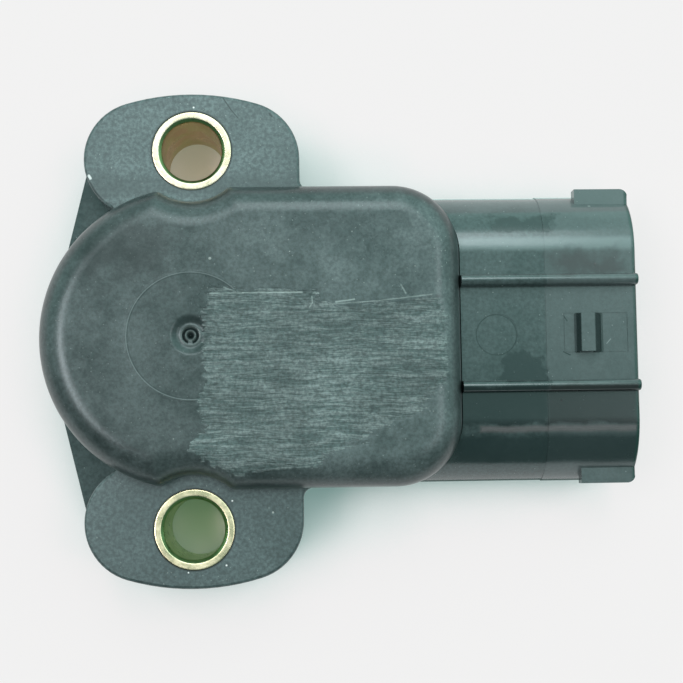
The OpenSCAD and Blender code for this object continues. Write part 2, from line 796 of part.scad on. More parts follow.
module terminal_potting() {
  color("#15181a") difference() {
    translate([0, 0, trough_z]) linear_extrude(potting_top - trough_z) intersection() {
      cover_outline(tub_wall);
      translate([dam_x + dam_t, -body_r]) square([body_x, 2 * body_r]);
    }
    for (i = [0:3]) translate([tail_x - terminal_t / 2, terminal_y(i), 0]) {
      translate([0, -terminal_w / 2, shroud_z - terminal_t / 2]) cube([body_x, terminal_w, terminal_t]);
      translate([0, -tail_w / 2, shroud_z]) cube([terminal_t, tail_w, ear_h]);
    }
  }
}

housing();
cover();
cover_sealant();
upper_bushing();
lower_bushing();
rotor();
return_spring();
thrust_washer();
wave_washer();
shaft_seal();
seal_retainer();
flange_seal();
substrate();
resistance_track();
collector_track();
idle_track();
conductors();
signal_wiper();
idle_wiper();
terminal_supply();
terminal_signal();
terminal_idle();
terminal_ground();
solder_joints();
terminal_potting();
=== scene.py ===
# %% [markdown]
# # A throttle position sensor, seen from above
# A throttle position sensor is a small plastic box that is bolted to the side of an engine's
# throttle body and tells how far the throttle is open. This lesson takes the sensor's CAD model
# as a fixed frame and gives it the looks of a used one: a moulded cover with a ground patch on
# its roof, plated steel bushings, and a dusty, slightly glossy plastic housing.
#
# All sizes below are in millimetres until a mesh is made. The mesh is in metres, as the frame is.

# %% Load the frame
import json
import math

import bmesh
import bpy
import numpy as np
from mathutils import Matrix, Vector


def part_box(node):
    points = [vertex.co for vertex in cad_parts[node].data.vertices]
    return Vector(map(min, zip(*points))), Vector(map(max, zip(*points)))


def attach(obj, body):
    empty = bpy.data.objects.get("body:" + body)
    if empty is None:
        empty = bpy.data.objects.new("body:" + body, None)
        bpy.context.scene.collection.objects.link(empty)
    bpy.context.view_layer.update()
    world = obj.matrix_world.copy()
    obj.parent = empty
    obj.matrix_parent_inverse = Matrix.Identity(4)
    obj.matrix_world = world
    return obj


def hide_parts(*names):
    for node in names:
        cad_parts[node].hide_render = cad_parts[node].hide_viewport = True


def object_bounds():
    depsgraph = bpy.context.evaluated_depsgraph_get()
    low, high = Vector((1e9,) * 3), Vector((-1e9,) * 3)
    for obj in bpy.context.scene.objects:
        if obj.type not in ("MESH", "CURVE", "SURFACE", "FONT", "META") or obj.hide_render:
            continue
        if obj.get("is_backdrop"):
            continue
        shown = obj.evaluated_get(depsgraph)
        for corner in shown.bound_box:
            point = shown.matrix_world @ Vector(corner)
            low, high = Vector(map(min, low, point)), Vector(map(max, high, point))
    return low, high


MM = 0.001
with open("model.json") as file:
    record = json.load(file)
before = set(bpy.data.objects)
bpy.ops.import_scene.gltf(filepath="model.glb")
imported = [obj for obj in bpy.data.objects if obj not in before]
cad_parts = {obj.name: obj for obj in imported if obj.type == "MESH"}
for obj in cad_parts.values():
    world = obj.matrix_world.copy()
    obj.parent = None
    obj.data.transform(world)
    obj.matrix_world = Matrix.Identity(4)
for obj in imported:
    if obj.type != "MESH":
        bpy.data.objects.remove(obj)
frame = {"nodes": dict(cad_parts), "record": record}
cad_low, cad_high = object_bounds()
nodes = frame["nodes"]
print("CAD nodes:", len(nodes), "box in mm:", [round(v / MM, 2) for v in (*cad_low, *cad_high)])

# %% [markdown]
# ## Camera
# The photograph was taken from straight above at arm's length, and then cut out of a larger
# picture, so the point under the lens is not the middle of the frame. The camera's place and
# turn were worked out from the two bushings, whose top and bottom rings show how strongly the
# view converges. A small shift stands for the cut, so that other views keep their framing.

# %% Camera
CAMERA_PLACE = (9.37, -12.93, 141.86)
CAMERA_TURN = (3.942, -2.290, -0.876)
CAMERA_LENS = 69.65
CAMERA_SHIFT = 0.05

scene = bpy.context.scene
camera = bpy.data.objects.new("camera", bpy.data.cameras.new("camera"))
camera.location = [v * MM for v in CAMERA_PLACE]
camera.rotation_euler = [math.radians(v) for v in CAMERA_TURN]
camera.data.lens = CAMERA_LENS
camera.data.shift_y = CAMERA_SHIFT
camera.data.clip_start = 0.005
scene.collection.objects.link(camera)
scene.camera = camera
scene.view_settings.view_transform = "Standard"
print("camera height in mm:", CAMERA_PLACE[2])

# %% [markdown]
# ## Building materials with few words
# A material is a tree of nodes. Written out in full, each node takes many lines, so a small
# helper adds a node, sets its options and fills its inputs: an input is either a number or
# colour, or the output of another node, which is then linked. The same helper works inside a
# material and inside a node group, and a node group is an effect that many materials share.

# %% A helper for node trees
class Tree:
    """Adds nodes to a node tree. Its methods return output sockets."""

    def __init__(self, nodes, links):
        self.nodes, self.links = nodes, links

    def add(self, kind, inputs=(), out=0, **options):
        """A new node with these settings, whose inputs are values or other nodes' outputs."""
        node = self.nodes.new(kind)
        for name, value in options.items():
            setattr(node, name, value)
        for key, value in dict(inputs).items():
            if isinstance(value, bpy.types.NodeSocket):
                self.links.new(value, node.inputs[key])
            else:
                node.inputs[key].default_value = value
        return node.outputs[out]

    def math(self, operation, a, b=0.0, clamp=False):
        """One number worked out from one or two others."""
        return self.add("ShaderNodeMath", {0: a, 1: b}, operation=operation, use_clamp=clamp)

    def mix(self, share, a, b, blend="MIX"):
        """Colour a where share is 0 and colour b where it is 1."""
        return self.add("ShaderNodeMix", {0: share, 6: a, 7: b}, out=2, data_type="RGBA",
                        blend_type=blend)

    def between(self, value, low, high, to_low=0.0, to_high=1.0):
        """A soft step: to_low where value is low, to_high where it is high."""
        return self.add("ShaderNodeMapRange", {0: value, 1: low, 2: high, 3: to_low, 4: to_high},
                        interpolation_type="SMOOTHSTEP")

    def noise(self, place, scale, detail=2.0, roughness=0.5):
        """Cloudy noise; scale is in cycles per metre."""
        return self.add("ShaderNodeTexNoise", {"Vector": place, "Scale": scale, "Detail": detail,
                                               "Roughness": roughness})

    def stretch(self, place, scale):
        """The place, scaled along the three axes."""
        return self.add("ShaderNodeMapping", {"Vector": place, "Scale": scale})

    def vector(self, operation, a, b=(0, 0, 0), out=0):
        """The same for vectors. out is "Value" where the answer is a number."""
        return self.add("ShaderNodeVectorMath", {0: a, 1: b}, out=out, operation=operation)

    def parts(self, place):
        """The X, Y and Z of a place."""
        return self.add("ShaderNodeSeparateXYZ", {0: place}).node.outputs

    def bump(self, height, depth, normal=None):
        """A normal that leans as if the surface had this height; depth is in metres."""
        inputs = {"Height": height, "Distance": depth}
        if normal is not None:
            inputs["Normal"] = normal
        return self.add("ShaderNodeBump", inputs)

    def group(self, group, inputs):
        """A shared effect, with this material's own values."""
        return self.add("ShaderNodeGroup", inputs, node_tree=group)


def new_group(name, inputs, outputs):
    """A node group with named inputs, each with its value, and named outputs."""
    group = bpy.data.node_groups.new(name, "ShaderNodeTree")
    for label, value in inputs.items():
        kind = "NodeSocketFloat" if isinstance(value, (int, float)) else "NodeSocketVector"
        socket = group.interface.new_socket(label, in_out="INPUT", socket_type=kind)
        if kind == "NodeSocketFloat":
            socket.default_value = value
    for label in outputs:
        group.interface.new_socket(label, in_out="OUTPUT", socket_type="NodeSocketFloat")
    tree = Tree(group.nodes, group.links)
    entry, leave = group.nodes.new("NodeGroupInput"), group.nodes.new("NodeGroupOutput")
    return group, tree, entry.outputs, leave.inputs


# %% [markdown]
# ## Effects that several finishes share
# Three things cover the whole sensor. Dust and lint are tiny pale dots, which cells of random
# size make: only the middle of a few cells is shown. Clouding is a slow change of shade, left by
# handling and by the way plastic flows in its mould. Grain is the fine roughness of the mould.
#
# Two more lie in chosen places. A mark is a short straight line, a scratch or a painted
# highlight: it covers what is near the line between two points. A field is a rectangle, for
# darker tone or for painted light and shade: noise pushes the place about before it is measured,
# so the edge turns ragged, and it fades over a width of its own.

# %% Dust, clouding, grain, marks and fields
dust, t, given, put = new_group("dust", {"Place": None, "Dots per metre": 900.0, "Share": 0.1,
                                         "Size": 0.2}, ["Mask"])
cell = t.add("ShaderNodeTexVoronoi", {"Vector": given["Place"], "Scale": given["Dots per metre"]},
             voronoi_dimensions="3D").node
chance = t.parts(cell.outputs["Color"])
near = t.math("MULTIPLY", given["Size"], t.math("ADD", chance[1], 0.3))
dot = t.math("LESS_THAN", cell.outputs["Distance"], near)
t.links.new(t.math("MULTIPLY", dot, t.math("LESS_THAN", chance[0], given["Share"])), put["Mask"])

clouds, t, given, put = new_group("clouds", {"Place": None, "Scale": 120.0}, ["Shade"])
broad = t.noise(given["Place"], given["Scale"], 3.0, 0.55)
fine = t.noise(given["Place"], t.math("MULTIPLY", given["Scale"], 6.0), 2.0, 0.6)
both = t.math("ADD", t.math("MULTIPLY", broad, 0.7), t.math("MULTIPLY", fine, 0.3))
t.links.new(t.between(both, 0.3, 0.7), put["Shade"])

grain, t, given, put = new_group("grain", {"Place": None, "Scale": 4000.0}, ["Height"])
t.links.new(t.noise(given["Place"], given["Scale"], 3.0, 0.65), put["Height"])

mark, t, given, put = new_group("mark", {"Place": None, "From": None, "To": None,
                                         "Width": 0.0001}, ["Mask"])
along = t.vector("SUBTRACT", given["To"], given["From"])
reach = t.vector("SUBTRACT", given["Place"], given["From"])
share = t.math("DIVIDE", t.vector("DOT_PRODUCT", reach, along, out="Value"),
               t.vector("DOT_PRODUCT", along, along, out="Value"), clamp=True)
nearest = t.add("ShaderNodeVectorMath", {0: along, 3: share}, operation="SCALE")
away = t.vector("DISTANCE", reach, nearest, out="Value")
t.links.new(t.between(away, t.math("MULTIPLY", given["Width"], 0.35), given["Width"], 1, 0),
            put["Mask"])

ragged_field, t, given, put = new_group("ragged_field", {"Place": None, "Middle": None, "Half size": None,
                                           "Ragged": 0.001, "Soft": 0.0003}, ["Mask"])
warp = t.add("ShaderNodeTexNoise", {"Vector": given["Place"], "Scale": 420.0, "Detail": 3.0,
             "Roughness": 0.6}, out="Color")
warp = t.add("ShaderNodeVectorMath", {0: t.vector("SUBTRACT", warp, (0.5, 0.5, 0.5)),
                                      3: given["Ragged"]}, operation="SCALE")
beyond = t.vector("SUBTRACT", t.vector("ADD", given["Place"], warp), given["Middle"])
beyond = t.parts(t.vector("SUBTRACT", t.vector("ABSOLUTE", beyond), given["Half size"]))
edge = t.math("MAXIMUM", beyond[0], beyond[1])
t.links.new(t.between(edge, given["Soft"], t.math("MULTIPLY", given["Soft"], -1.0), 0, 1),
            put["Mask"])
print("shared effects:", [g.name for g in bpy.data.node_groups])


def new_material(name):
    """An empty material with its tree, its Principled BSDF and its object coordinates."""
    material = bpy.data.materials.new(name)
    material.use_nodes = True
    tree = Tree(material.node_tree.nodes, material.node_tree.links)
    shader = material.node_tree.nodes["Principled BSDF"]
    place = tree.add("ShaderNodeTexCoord", out="Object")
    return material, tree, shader, place


# %% [markdown]
# ## Sizes that the frame gives
# The CAD solids say where everything is, so the few sizes that later cells need are read from
# their boxes: the radius of the cover's round end, the heights, and where the bushings stand.

# %% Where each piece goes
BODY = "sensor_body"
corners = {name: (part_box(name)[0] / MM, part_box(name)[1] / MM) for name in nodes}
body_r = -corners["cover"][0].x
flat_end = corners["cover"][1].x
cover_top = corners["cover"][1].z
ear_top = corners["upper_bushing"][1].z
hole_y = (corners["upper_bushing"][0].y + corners["upper_bushing"][1].y) / 2
bushing_r = (corners["upper_bushing"][1].x - corners["upper_bushing"][0].x) / 2
print("round end", round(body_r, 2), "ears' top", round(ear_top, 2), "holes at", round(hole_y, 2))

# %% [markdown]
# ## Table
# The sensor lies on a white table, which the photograph shows as almost plain white with a soft
# green shadow towards the viewer. A lit surface alone gives no such even white. So for the rays
# from the camera, and for those that metal and glass send on, most of the table's light is a
# glow of its own. The shadow comes from Blender's Ambient Occlusion node, which tells how much
# of the view towards the main lamp is open: where little is, the glow is weaker and greener.
#
# Under each bushing's bore the glow is painted light: tinted as if coloured by the plating, and
# much dimmer and greener under the lower one.
# Two cases let light through the table. Seen from below it is clear, so that the underside can be
# looked at. And it would leave the underside black, so rays that start right above it pass too.

# %% Table
FLOOR_SIZE = 9.0
SHADOW_REACH = 14.0
UNDERSIDE_REACH = 8.0
UNDER_BORE_R = 3.4
TOWARDS_LAMP = (-0.12, 0.88, 0.46)
TABLE_COLOUR = (0.90, 0.79, 0.80, 1)
GLOW_SHADOW, GLOW_OPEN = (0.34, 0.76, 0.69, 1), (0.885, 0.89, 0.888, 1)
# Painted light and shade under the bores: olive under the upper one, dim green under the lower one.
PAINTED_LIGHT_UNDER_BORES = {1: (0.74, 0.76, 0.55, 1), -1: (0.12, 0.33, 0.16, 1)}

floor_mesh = bpy.data.meshes.new("floor")
half = FLOOR_SIZE / 2
floor_mesh.from_pydata([(-half, -half, 0), (half, -half, 0), (half, half, 0), (-half, half, 0)],
                       [], [(0, 1, 2, 3)])
floor = bpy.data.objects.new("floor", floor_mesh)
floor.location.z = cad_low.z - 0.02 * MM
scene.collection.objects.link(floor)
floor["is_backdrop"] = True
table_finish, t, shader, place = new_material("table")
shader.inputs["Base Color"].default_value = TABLE_COLOUR
shader.inputs["Roughness"].default_value = 0.9
shader.inputs["Specular IOR Level"].default_value = 0.1
open_sky = t.add("ShaderNodeAmbientOcclusion", {"Distance": SHADOW_REACH * MM,
                                                "Normal": TOWARDS_LAMP}, out="AO", samples=8)
clear_of_shadow = t.between(open_sky, 0.35, 0.75)
tint = t.mix(clear_of_shadow, GLOW_SHADOW, GLOW_OPEN)
under_bore = 0.0
# Painted light under each bore.
for side, painted_bore_light in PAINTED_LIGHT_UNDER_BORES.items():
    away = t.vector("DISTANCE", place, (0, side * hole_y * MM, 0), out="Value")
    hole = t.math("LESS_THAN", away, UNDER_BORE_R * MM)
    tint = t.mix(hole, tint, painted_bore_light)
    under_bore = t.math("ADD", under_bore, hole)
glow = t.add("ShaderNodeEmission", {"Color": tint})
path = t.add("ShaderNodeLightPath").node.outputs
seen = t.math("MAXIMUM", path["Is Camera Ray"], t.math(
    "MAXIMUM", path["Is Glossy Ray"], path["Is Transmission Ray"]))
seen = t.math("MULTIPLY", seen, t.between(clear_of_shadow, 0, 1, 0.25, 0.85))
lit = t.add("ShaderNodeMixShader", {0: seen, 1: shader.outputs[0], 2: glow})
from_below = t.add("ShaderNodeNewGeometry", out="Backfacing")
close = t.math("MULTIPLY", t.math("LESS_THAN", path["Ray Length"], UNDERSIDE_REACH * MM),
               t.math("SUBTRACT", 1.0, t.math("MAXIMUM", path["Is Camera Ray"],
                                              path["Is Shadow Ray"])))
close = t.math("MULTIPLY", close, t.math("SUBTRACT", 1.0, under_bore))
mixed = t.add("ShaderNodeMixShader", {0: t.math("MAXIMUM", from_below, close), 1: lit,
                                      2: t.add("ShaderNodeBsdfTransparent")})
t.links.new(mixed, table_finish.node_tree.nodes["Material Output"].inputs["Surface"])
floor_mesh.materials.append(table_finish)
print("floor at", round(floor.location.z / MM, 3), "mm")

# %% [markdown]
# ## Room and lamps
# Bright patches stand round the lens, about 30 degrees from straight above: a large one towards
# the top of the picture and smaller ones to the left and the right. A surface that leans by half
# of that mirrors them, so each rounded edge carries a pale line where its curve starts, except at
# the bottom of the picture, where the room is darkest. The room's light is slightly green and the
# lamps' is slightly pink, so where they add up the light is white, and the shadows are green.

# %% Room and lamps
ROOM_COLOUR = (0.70, 1.0, 0.94, 1)
ROOM_DARK, ROOM_LIGHT = 0.19, 0.94
LAMP_COLOUR = (1.0, 0.88, 0.92)

world = bpy.data.worlds.new("room")
scene.world = world
world.use_nodes = True
t = Tree(world.node_tree.nodes, world.node_tree.links)
room = world.node_tree.nodes["Background"]
room.inputs["Color"].default_value = ROOM_COLOUR
towards = t.parts(t.add("ShaderNodeTexCoord", out="Generated"))
up_picture = t.between(towards[1], -0.25, 0.42, ROOM_DARK, ROOM_LIGHT)
across_picture = t.math("ADD", t.between(towards[0], -0.25, 0.25, 0.72, 1.4),
                        t.between(towards[0], -0.6, -0.95, 0, 0.5))
t.links.new(t.math("MULTIPLY", up_picture, across_picture), room.inputs["Strength"])


def soft_lamp(name, towards, tilt, along, across, brightness, distance=1.5):
    """A rectangular lamp aimed at the sensor. It stands in the direction towards (degrees from
    +X in plan), tilt degrees away from straight above. Its sides span the angles along and
    across, in degrees, and its power is pi times its brightness times its area."""
    lamp = bpy.data.lights.new(name, "AREA")
    lamp.shape = "RECTANGLE"
    lamp.size, lamp.size_y = (2 * distance * math.tan(math.radians(a / 2)) for a in (along, across))
    lamp.energy = math.pi * brightness * lamp.size * lamp.size_y
    lamp.color = LAMP_COLOUR
    item = bpy.data.objects.new(name, lamp)
    plan, lean = math.radians(towards), math.radians(tilt)
    item.location = (distance * math.sin(lean) * math.cos(plan),
                     distance * math.sin(lean) * math.sin(plan), distance * math.cos(lean))
    item.rotation_euler = (0, lean, plan)
    scene.collection.objects.link(item)
    return item


soft_lamp("lamp_top", 90, 32, 28, 26, 3.2)
soft_lamp("lamp_left", 180, 29, 16, 26, 9.0)
soft_lamp("lamp_right", 0, 30, 18, 26, 2.6)
print("lamps:", [lamp.name for lamp in bpy.data.lights])

# %% [markdown]
# ## A finish that all pieces share
# Every material here is the same idea with other numbers: two close colours that clouds blend, a
# roughness that follows the clouds, a fine grain that tilts the surface a little, and some dust.
# One function builds that and returns its tree, so that the plastic and the plated steel can add
# what only they have. A row of numbers per material slot then finishes every hidden piece too.

# %% One finish from a few numbers
SHEEN_COLOUR = (0.80, 1.0, 1.0, 1)
DUST_COLOUR = (0.40, 0.46, 0.44, 1)


def finish(name, dark, light, rough=(0.4, 0.5), metal=0.0, cloud=120.0, grains=4000.0,
           relief=0.01, dusty=0.0, gloss=0.5, mottle=0.1):
    """A material whose colour goes from dark to light with the clouds.

    rough is the roughness where it is dark and light, relief the grain's depth in millimetres,
    dusty the share of cells that hold a dust dot, gloss how strongly it mirrors, and mottle how
    much the grain shades the colour. Returns the material, its tree, its shader, its place, and
    the outputs for colour, roughness, clouds and height of grain.
    """
    material, t, shader, place = new_material(name)
    shade = t.group(clouds, {"Place": place, "Scale": cloud})
    height = t.group(grain, {"Place": place, "Scale": grains})
    colour = t.mix(shade, (*dark, 1), (*light, 1))
    colour = t.mix(1.0, colour, t.between(height, 0.3, 0.7, 1 - mottle, 1 + mottle), "MULTIPLY")
    roughness = t.between(shade, 0, 1, *rough)
    if dusty:
        fine = t.group(dust, {"Place": place, "Dots per metre": 2600.0, "Share": dusty,
                              "Size": 0.14})
        lint = t.group(dust, {"Place": place, "Dots per metre": 520.0, "Share": dusty * 0.4,
                              "Size": 0.07})
        dots = t.math("MAXIMUM", t.math("MULTIPLY", fine, 0.35), lint)
        colour = t.mix(t.math("MULTIPLY", dots, 0.7), colour, DUST_COLOUR)
        roughness = t.math("MAXIMUM", roughness, t.math("MULTIPLY", dots, 0.8))
    shader.inputs["Metallic"].default_value = metal
    shader.inputs["Specular IOR Level"].default_value = gloss
    if not metal:
        shader.inputs["Specular Tint"].default_value = SHEEN_COLOUR
    t.links.new(colour, shader.inputs["Base Color"])
    t.links.new(roughness, shader.inputs["Roughness"])
    t.links.new(t.bump(height, relief * MM), shader.inputs["Normal"])
    return material, t, shader, place, {"colour": colour, "rough": roughness, "clouds": shade,
                                        "height": height}


FINISHES = {
    "rotor_plastic": dict(dark=(0.60, 0.55, 0.42), light=(0.70, 0.65, 0.53), rough=(0.4, 0.5)),
    "seal_rubber": dict(dark=(0.010, 0.010, 0.011), light=(0.022, 0.022, 0.023),
                        rough=(0.55, 0.75), dusty=0.12, relief=0.02, cloud=400),
    "sealant": dict(dark=(0.012, 0.014, 0.013), light=(0.03, 0.034, 0.031), rough=(0.25, 0.4),
                    relief=0.03, grains=900),
    "spring_steel": dict(dark=(0.42, 0.41, 0.39), light=(0.58, 0.57, 0.55), rough=(0.22, 0.34),
                         metal=1.0, relief=0.004),
    "washer_bronze": dict(dark=(0.45, 0.27, 0.11), light=(0.62, 0.42, 0.2), rough=(0.3, 0.45),
                          metal=1.0, relief=0.006),
    "ceramic": dict(dark=(0.72, 0.71, 0.66), light=(0.82, 0.81, 0.77), rough=(0.5, 0.65),
                    relief=0.01, cloud=300),
    "resistor_ink": dict(dark=(0.010, 0.009, 0.009), light=(0.03, 0.027, 0.025),
                         rough=(0.3, 0.45), cloud=700),
    "silver_ink": dict(dark=(0.5, 0.49, 0.46), light=(0.66, 0.65, 0.62), rough=(0.4, 0.55),
                       metal=0.8, cloud=700),
    "contact_alloy": dict(dark=(0.66, 0.50, 0.27), light=(0.80, 0.65, 0.40), rough=(0.2, 0.32),
                          metal=1.0, relief=0.004),
    "tinned_brass": dict(dark=(0.55, 0.54, 0.49), light=(0.70, 0.69, 0.65), rough=(0.25, 0.38),
                         metal=1.0, relief=0.005, grains=2500),
    "solder": dict(dark=(0.50, 0.51, 0.52), light=(0.68, 0.69, 0.70), rough=(0.25, 0.45),
                   metal=1.0, relief=0.02, grains=1500),
    "potting_resin": dict(dark=(0.008, 0.009, 0.010), light=(0.018, 0.019, 0.020),
                          rough=(0.12, 0.25), relief=0.01, grains=600),
}
slot_of = {part["node"]: part["material_slot"] for part in frame["record"]["subparts"]}
made = {slot: finish(slot, **numbers) for slot, numbers in FINISHES.items()}
print("finishes:", len(made))

# %% [markdown]
# ## Meshes from stacked curves
# Most of the new pieces are surfaces that run through a stack of closed curves, as a lathe's or
# a lofted form does. Each curve has the same number of points, so the stack is a grid, and its
# faces come from one array sum. Where curves shrink to a point or a line, corners fall together.
# They are merged, and each face keeps only its different corners, so poles and seams are closed.

# %% Helpers: curves to faces, faces to a piece
def strip(curves):
    """Points and four-cornered faces of the surface through a stack of closed curves.

    curves has the shape (curves, points, 3). Face (i, j) joins points j and j + 1 of curve i to
    the same points of curve i + 1, and the last point of a curve is joined to its first.
    """
    rows, count = curves.shape[:2]
    i, j = np.meshgrid(np.arange(rows - 1), np.arange(count), indexing="ij")
    n = (j + 1) % count
    faces = np.stack([i * count + j, (i + 1) * count + j, (i + 1) * count + n, i * count + n], -1)
    return curves.reshape(-1, 3), faces.reshape(-1, 4)


def joined(strips):
    """One list of points and one of faces from several strips."""
    starts = np.cumsum([0] + [len(points) for points, _ in strips[:-1]])
    return (np.concatenate([points for points, _ in strips]),
            np.concatenate([faces + start for (_, faces), start in zip(strips, starts)]))


def signed_volume(points, triangles):
    """A sixth of the sum of each triangle's triple product; positive where faces point out."""
    a, b, c = (points[triangles[:, k]] for k in range(3))
    return np.einsum("ij,ij->i", a, np.cross(b, c)).sum() / 6


def add_piece(name, points, quads, material, body=BODY, sharp=35, slot=None, **values):
    """A closed piece from points in millimetres and four-cornered faces.

    Points in one place, to a millionth of a millimetre, become one. Values are named numbers
    kept at each point for the material to read.
    """
    _, first, place = np.unique(np.round(points * 1e5).astype(np.int64), axis=0,
                                return_index=True, return_inverse=True)
    quads = place.reshape(-1)[quads]
    alone = quads != np.roll(quads, -1, axis=1)
    whole = quads[alone.all(1)]
    three = alone.sum(1) == 3
    thirds = quads[three][alone[three]].reshape(-1, 3)
    triangles = np.concatenate([whole[:, [0, 1, 2]], whole[:, [0, 2, 3]], thirds])
    if signed_volume(points[first], triangles) < 0:
        whole, thirds = whole[:, ::-1], thirds[:, ::-1]
    mesh = bpy.data.meshes.new(name)
    mesh.from_pydata((points[first] * MM).tolist(), [], whole.tolist() + thirds.tolist())
    for label, numbers in values.items():
        layer = mesh.attributes.new(label, "FLOAT", "POINT")
        layer.data.foreach_set("value", numbers[first].astype(np.float32))
    mesh.polygons.foreach_set("use_smooth", np.ones(len(mesh.polygons), bool))
    mesh.set_sharp_from_angle(angle=math.radians(sharp))
    mesh.materials.append(material)
    piece = bpy.data.objects.new(name, mesh)
    scene.collection.objects.link(piece)
    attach(piece, body)
    print(name, "faces:", len(mesh.polygons), "volume in mm3:",
          round(abs(signed_volume(points[first], triangles)), 1))
    return piece


# %% [markdown]
# ## The cover's outline
# Seen from above, the cover has a round end over the rotor and a flat end with round corners,
# and a hollow on each side makes room for a bolt's head. Lines and arcs describe it exactly. The
# rounded edge needs the same outline again and again, each a little further in, so the outline
# is a function of its inset. Each line or arc keeps its number of points, so that the outlines
# match point for point. The two sharp tips beside a hollow are rounded by a small arc.

# %% The cover's outline as a function of its inset
CORNER_R = 6.7
SCALLOP_R = 5.4
TIP_R = 1.0
OUTLINE_STEP = 0.17


def arc(centre, radius, start, end, count):
    """count points on a circle from angle start to angle end in radians, without the last one."""
    angle = start + (end - start) * np.arange(count) / count
    return np.stack([centre[0] + radius * np.cos(angle), centre[1] + radius * np.sin(angle)], -1)


def line(start, end, count):
    """count points on a straight line, without the last one."""
    share = (np.arange(count) / count)[:, None]
    return np.array(start) * (1 - share) + np.array(end) * share


def outline_parts(inset, tip):
    """The centres and angles of the outline's upper half, from the flat end to the round end.

    A tip's arc touches the edge beside it from inside and the hollow's circle from outside, so
    its centre is one tip radius further in than the edge and one tip radius out of the hollow.
    """
    edge = body_r - inset
    hollow = SCALLOP_R + inset
    right = (math.sqrt((hollow + tip) ** 2 - (hole_y - edge + tip) ** 2), edge - tip)
    height = ((edge - tip) ** 2 - (hollow + tip) ** 2 + hole_y ** 2) / (2 * hole_y)
    left = (-math.sqrt((edge - tip) ** 2 - height ** 2), height)
    return edge, hollow, right, left


def counts_for(inset=3.0, tip=TIP_R):
    """How many points each part of the outline gets: its length over the outline's step."""
    edge, hollow, right, left = outline_parts(inset, tip)
    corner_y = body_r - CORNER_R
    span = math.atan2(right[1] - hole_y, right[0]) - math.atan2(left[1] - hole_y, left[0])
    lengths = (corner_y, (CORNER_R - inset) * math.pi / 2, flat_end - CORNER_R - right[0],
               1.4 * tip, hollow * (span % (2 * math.pi)), 1.4 * tip, edge * 1.3)
    return [max(4, round(length / OUTLINE_STEP)) for length in lengths]


COUNTS = counts_for()


def cover_outline(inset, tip=TIP_R):
    """The cover's outline, moved in by inset, as points that run anticlockwise from +X."""
    edge, hollow, right, left = outline_parts(inset, tip)
    corner = (flat_end - CORNER_R, body_r - CORNER_R)
    end_x = flat_end - inset
    to_right = math.atan2(hole_y - right[1], -right[0])
    to_left = math.atan2(hole_y - left[1], -left[0])
    leave = math.atan2(left[1], left[0])
    upper = np.concatenate([
        line((end_x, 0), (end_x, corner[1]), COUNTS[0]),
        arc(corner, CORNER_R - inset, 0, math.pi / 2, COUNTS[1]),
        line((corner[0], edge), (right[0], edge), COUNTS[2]),
        arc(right, tip, math.pi / 2, to_right, COUNTS[3]),
        arc((0, hole_y), hollow, to_right - math.pi, to_left - math.pi, COUNTS[4]),
        arc(left, tip, to_left, leave, COUNTS[5]),
        arc((0, 0), edge, leave, math.pi, COUNTS[6])])
    lower = upper[1:][::-1] * (1, -1)
    return np.concatenate([upper, [(-edge, 0)], lower])


outline = cover_outline(0)
print("cover outline points:", len(outline), "reach:", outline.min(0).round(2),
      outline.max(0).round(2))

# %% [markdown]
# ## Noise worked out with numpy
# The scratches and the slight waviness of the cover are real relief, not only shading, so their
# height is worked out here. Value noise puts a random number on each corner of a square lattice
# and blends smoothly between the corners. Squeezing the lattice along one axis turns blots into
# streaks. The random numbers come from a seeded generator, so each run gives the same cover.

# %% Value noise
def value_noise(x, y, seed, cells=256):
    """Smooth noise from 0 to 1 at each (x, y), with one lattice cell per unit.

    Between corners the share is 3t^2 - 2t^3, and the four corners are blended by those shares.
    """
    lattice = np.random.default_rng(seed).random((cells, cells))
    i, j = np.floor(x).astype(int), np.floor(y).astype(int)
    s, t = x - i, y - j
    s, t = s * s * (3 - 2 * s), t * t * (3 - 2 * t)
    low = lattice[i % cells, j % cells] * (1 - s) + lattice[(i + 1) % cells, j % cells] * s
    high = (lattice[i % cells, (j + 1) % cells] * (1 - s)
            + lattice[(i + 1) % cells, (j + 1) % cells] * s)
    return low * (1 - t) + high * t


def soft_step(value, low, high):
    """0 below low, 1 above high and a smooth rise between."""
    t = np.clip((value - low) / (high - low), 0, 1)
    return t * t * (3 - 2 * t)


# %% [markdown]
# ## The ground patch
# The cover was once held against a grinding wheel. The wheel left a flat patch a few hundredths
# of a millimetre deep, with fine, nearly level scratches that wander a little. Its left side is
# cut straight, its lower left is torn where the wheel ran over the rounded edge, and to the lower
# right it fades out. The patch is a polygon, and the distance to it, roughened by noise, tells
# where the surface is ground and how sharply that ends.

# %% The patch's outline and its scratches
PATCH = np.array([
    (1.9, 4.35), (4.2, 4.5), (7.4, 4.3), (9.4, 4.4), (12.4, 4.15), (12.1, 2.7), (14.4, 2.8),
    (16.5, 2.6), (18.5, 3.2), (21.0, 3.2), (24.1, 3.55), (25.0, 2.1), (24.9, -5.2), (23.0, -6.4),
    (22.6, -7.4), (20.3, -8.6), (16.8, -10.4), (13.0, -11.8), (12.2, -12.9), (9.5, -13.25),
    (7.0, -13.3), (4.7, -13.7), (2.3, -12.95), (1.2, -12.1), (-0.45, -11.1), (0.4, -9.9),
    (1.55, -9.1), (1.1, -7.9), (0.6, -6.7), (1.4, -4.4), (1.2, -1.0), (1.55, 3.3)])
PATCH_DEPTH = 0.05
SCRATCH_DEPTH = 0.035


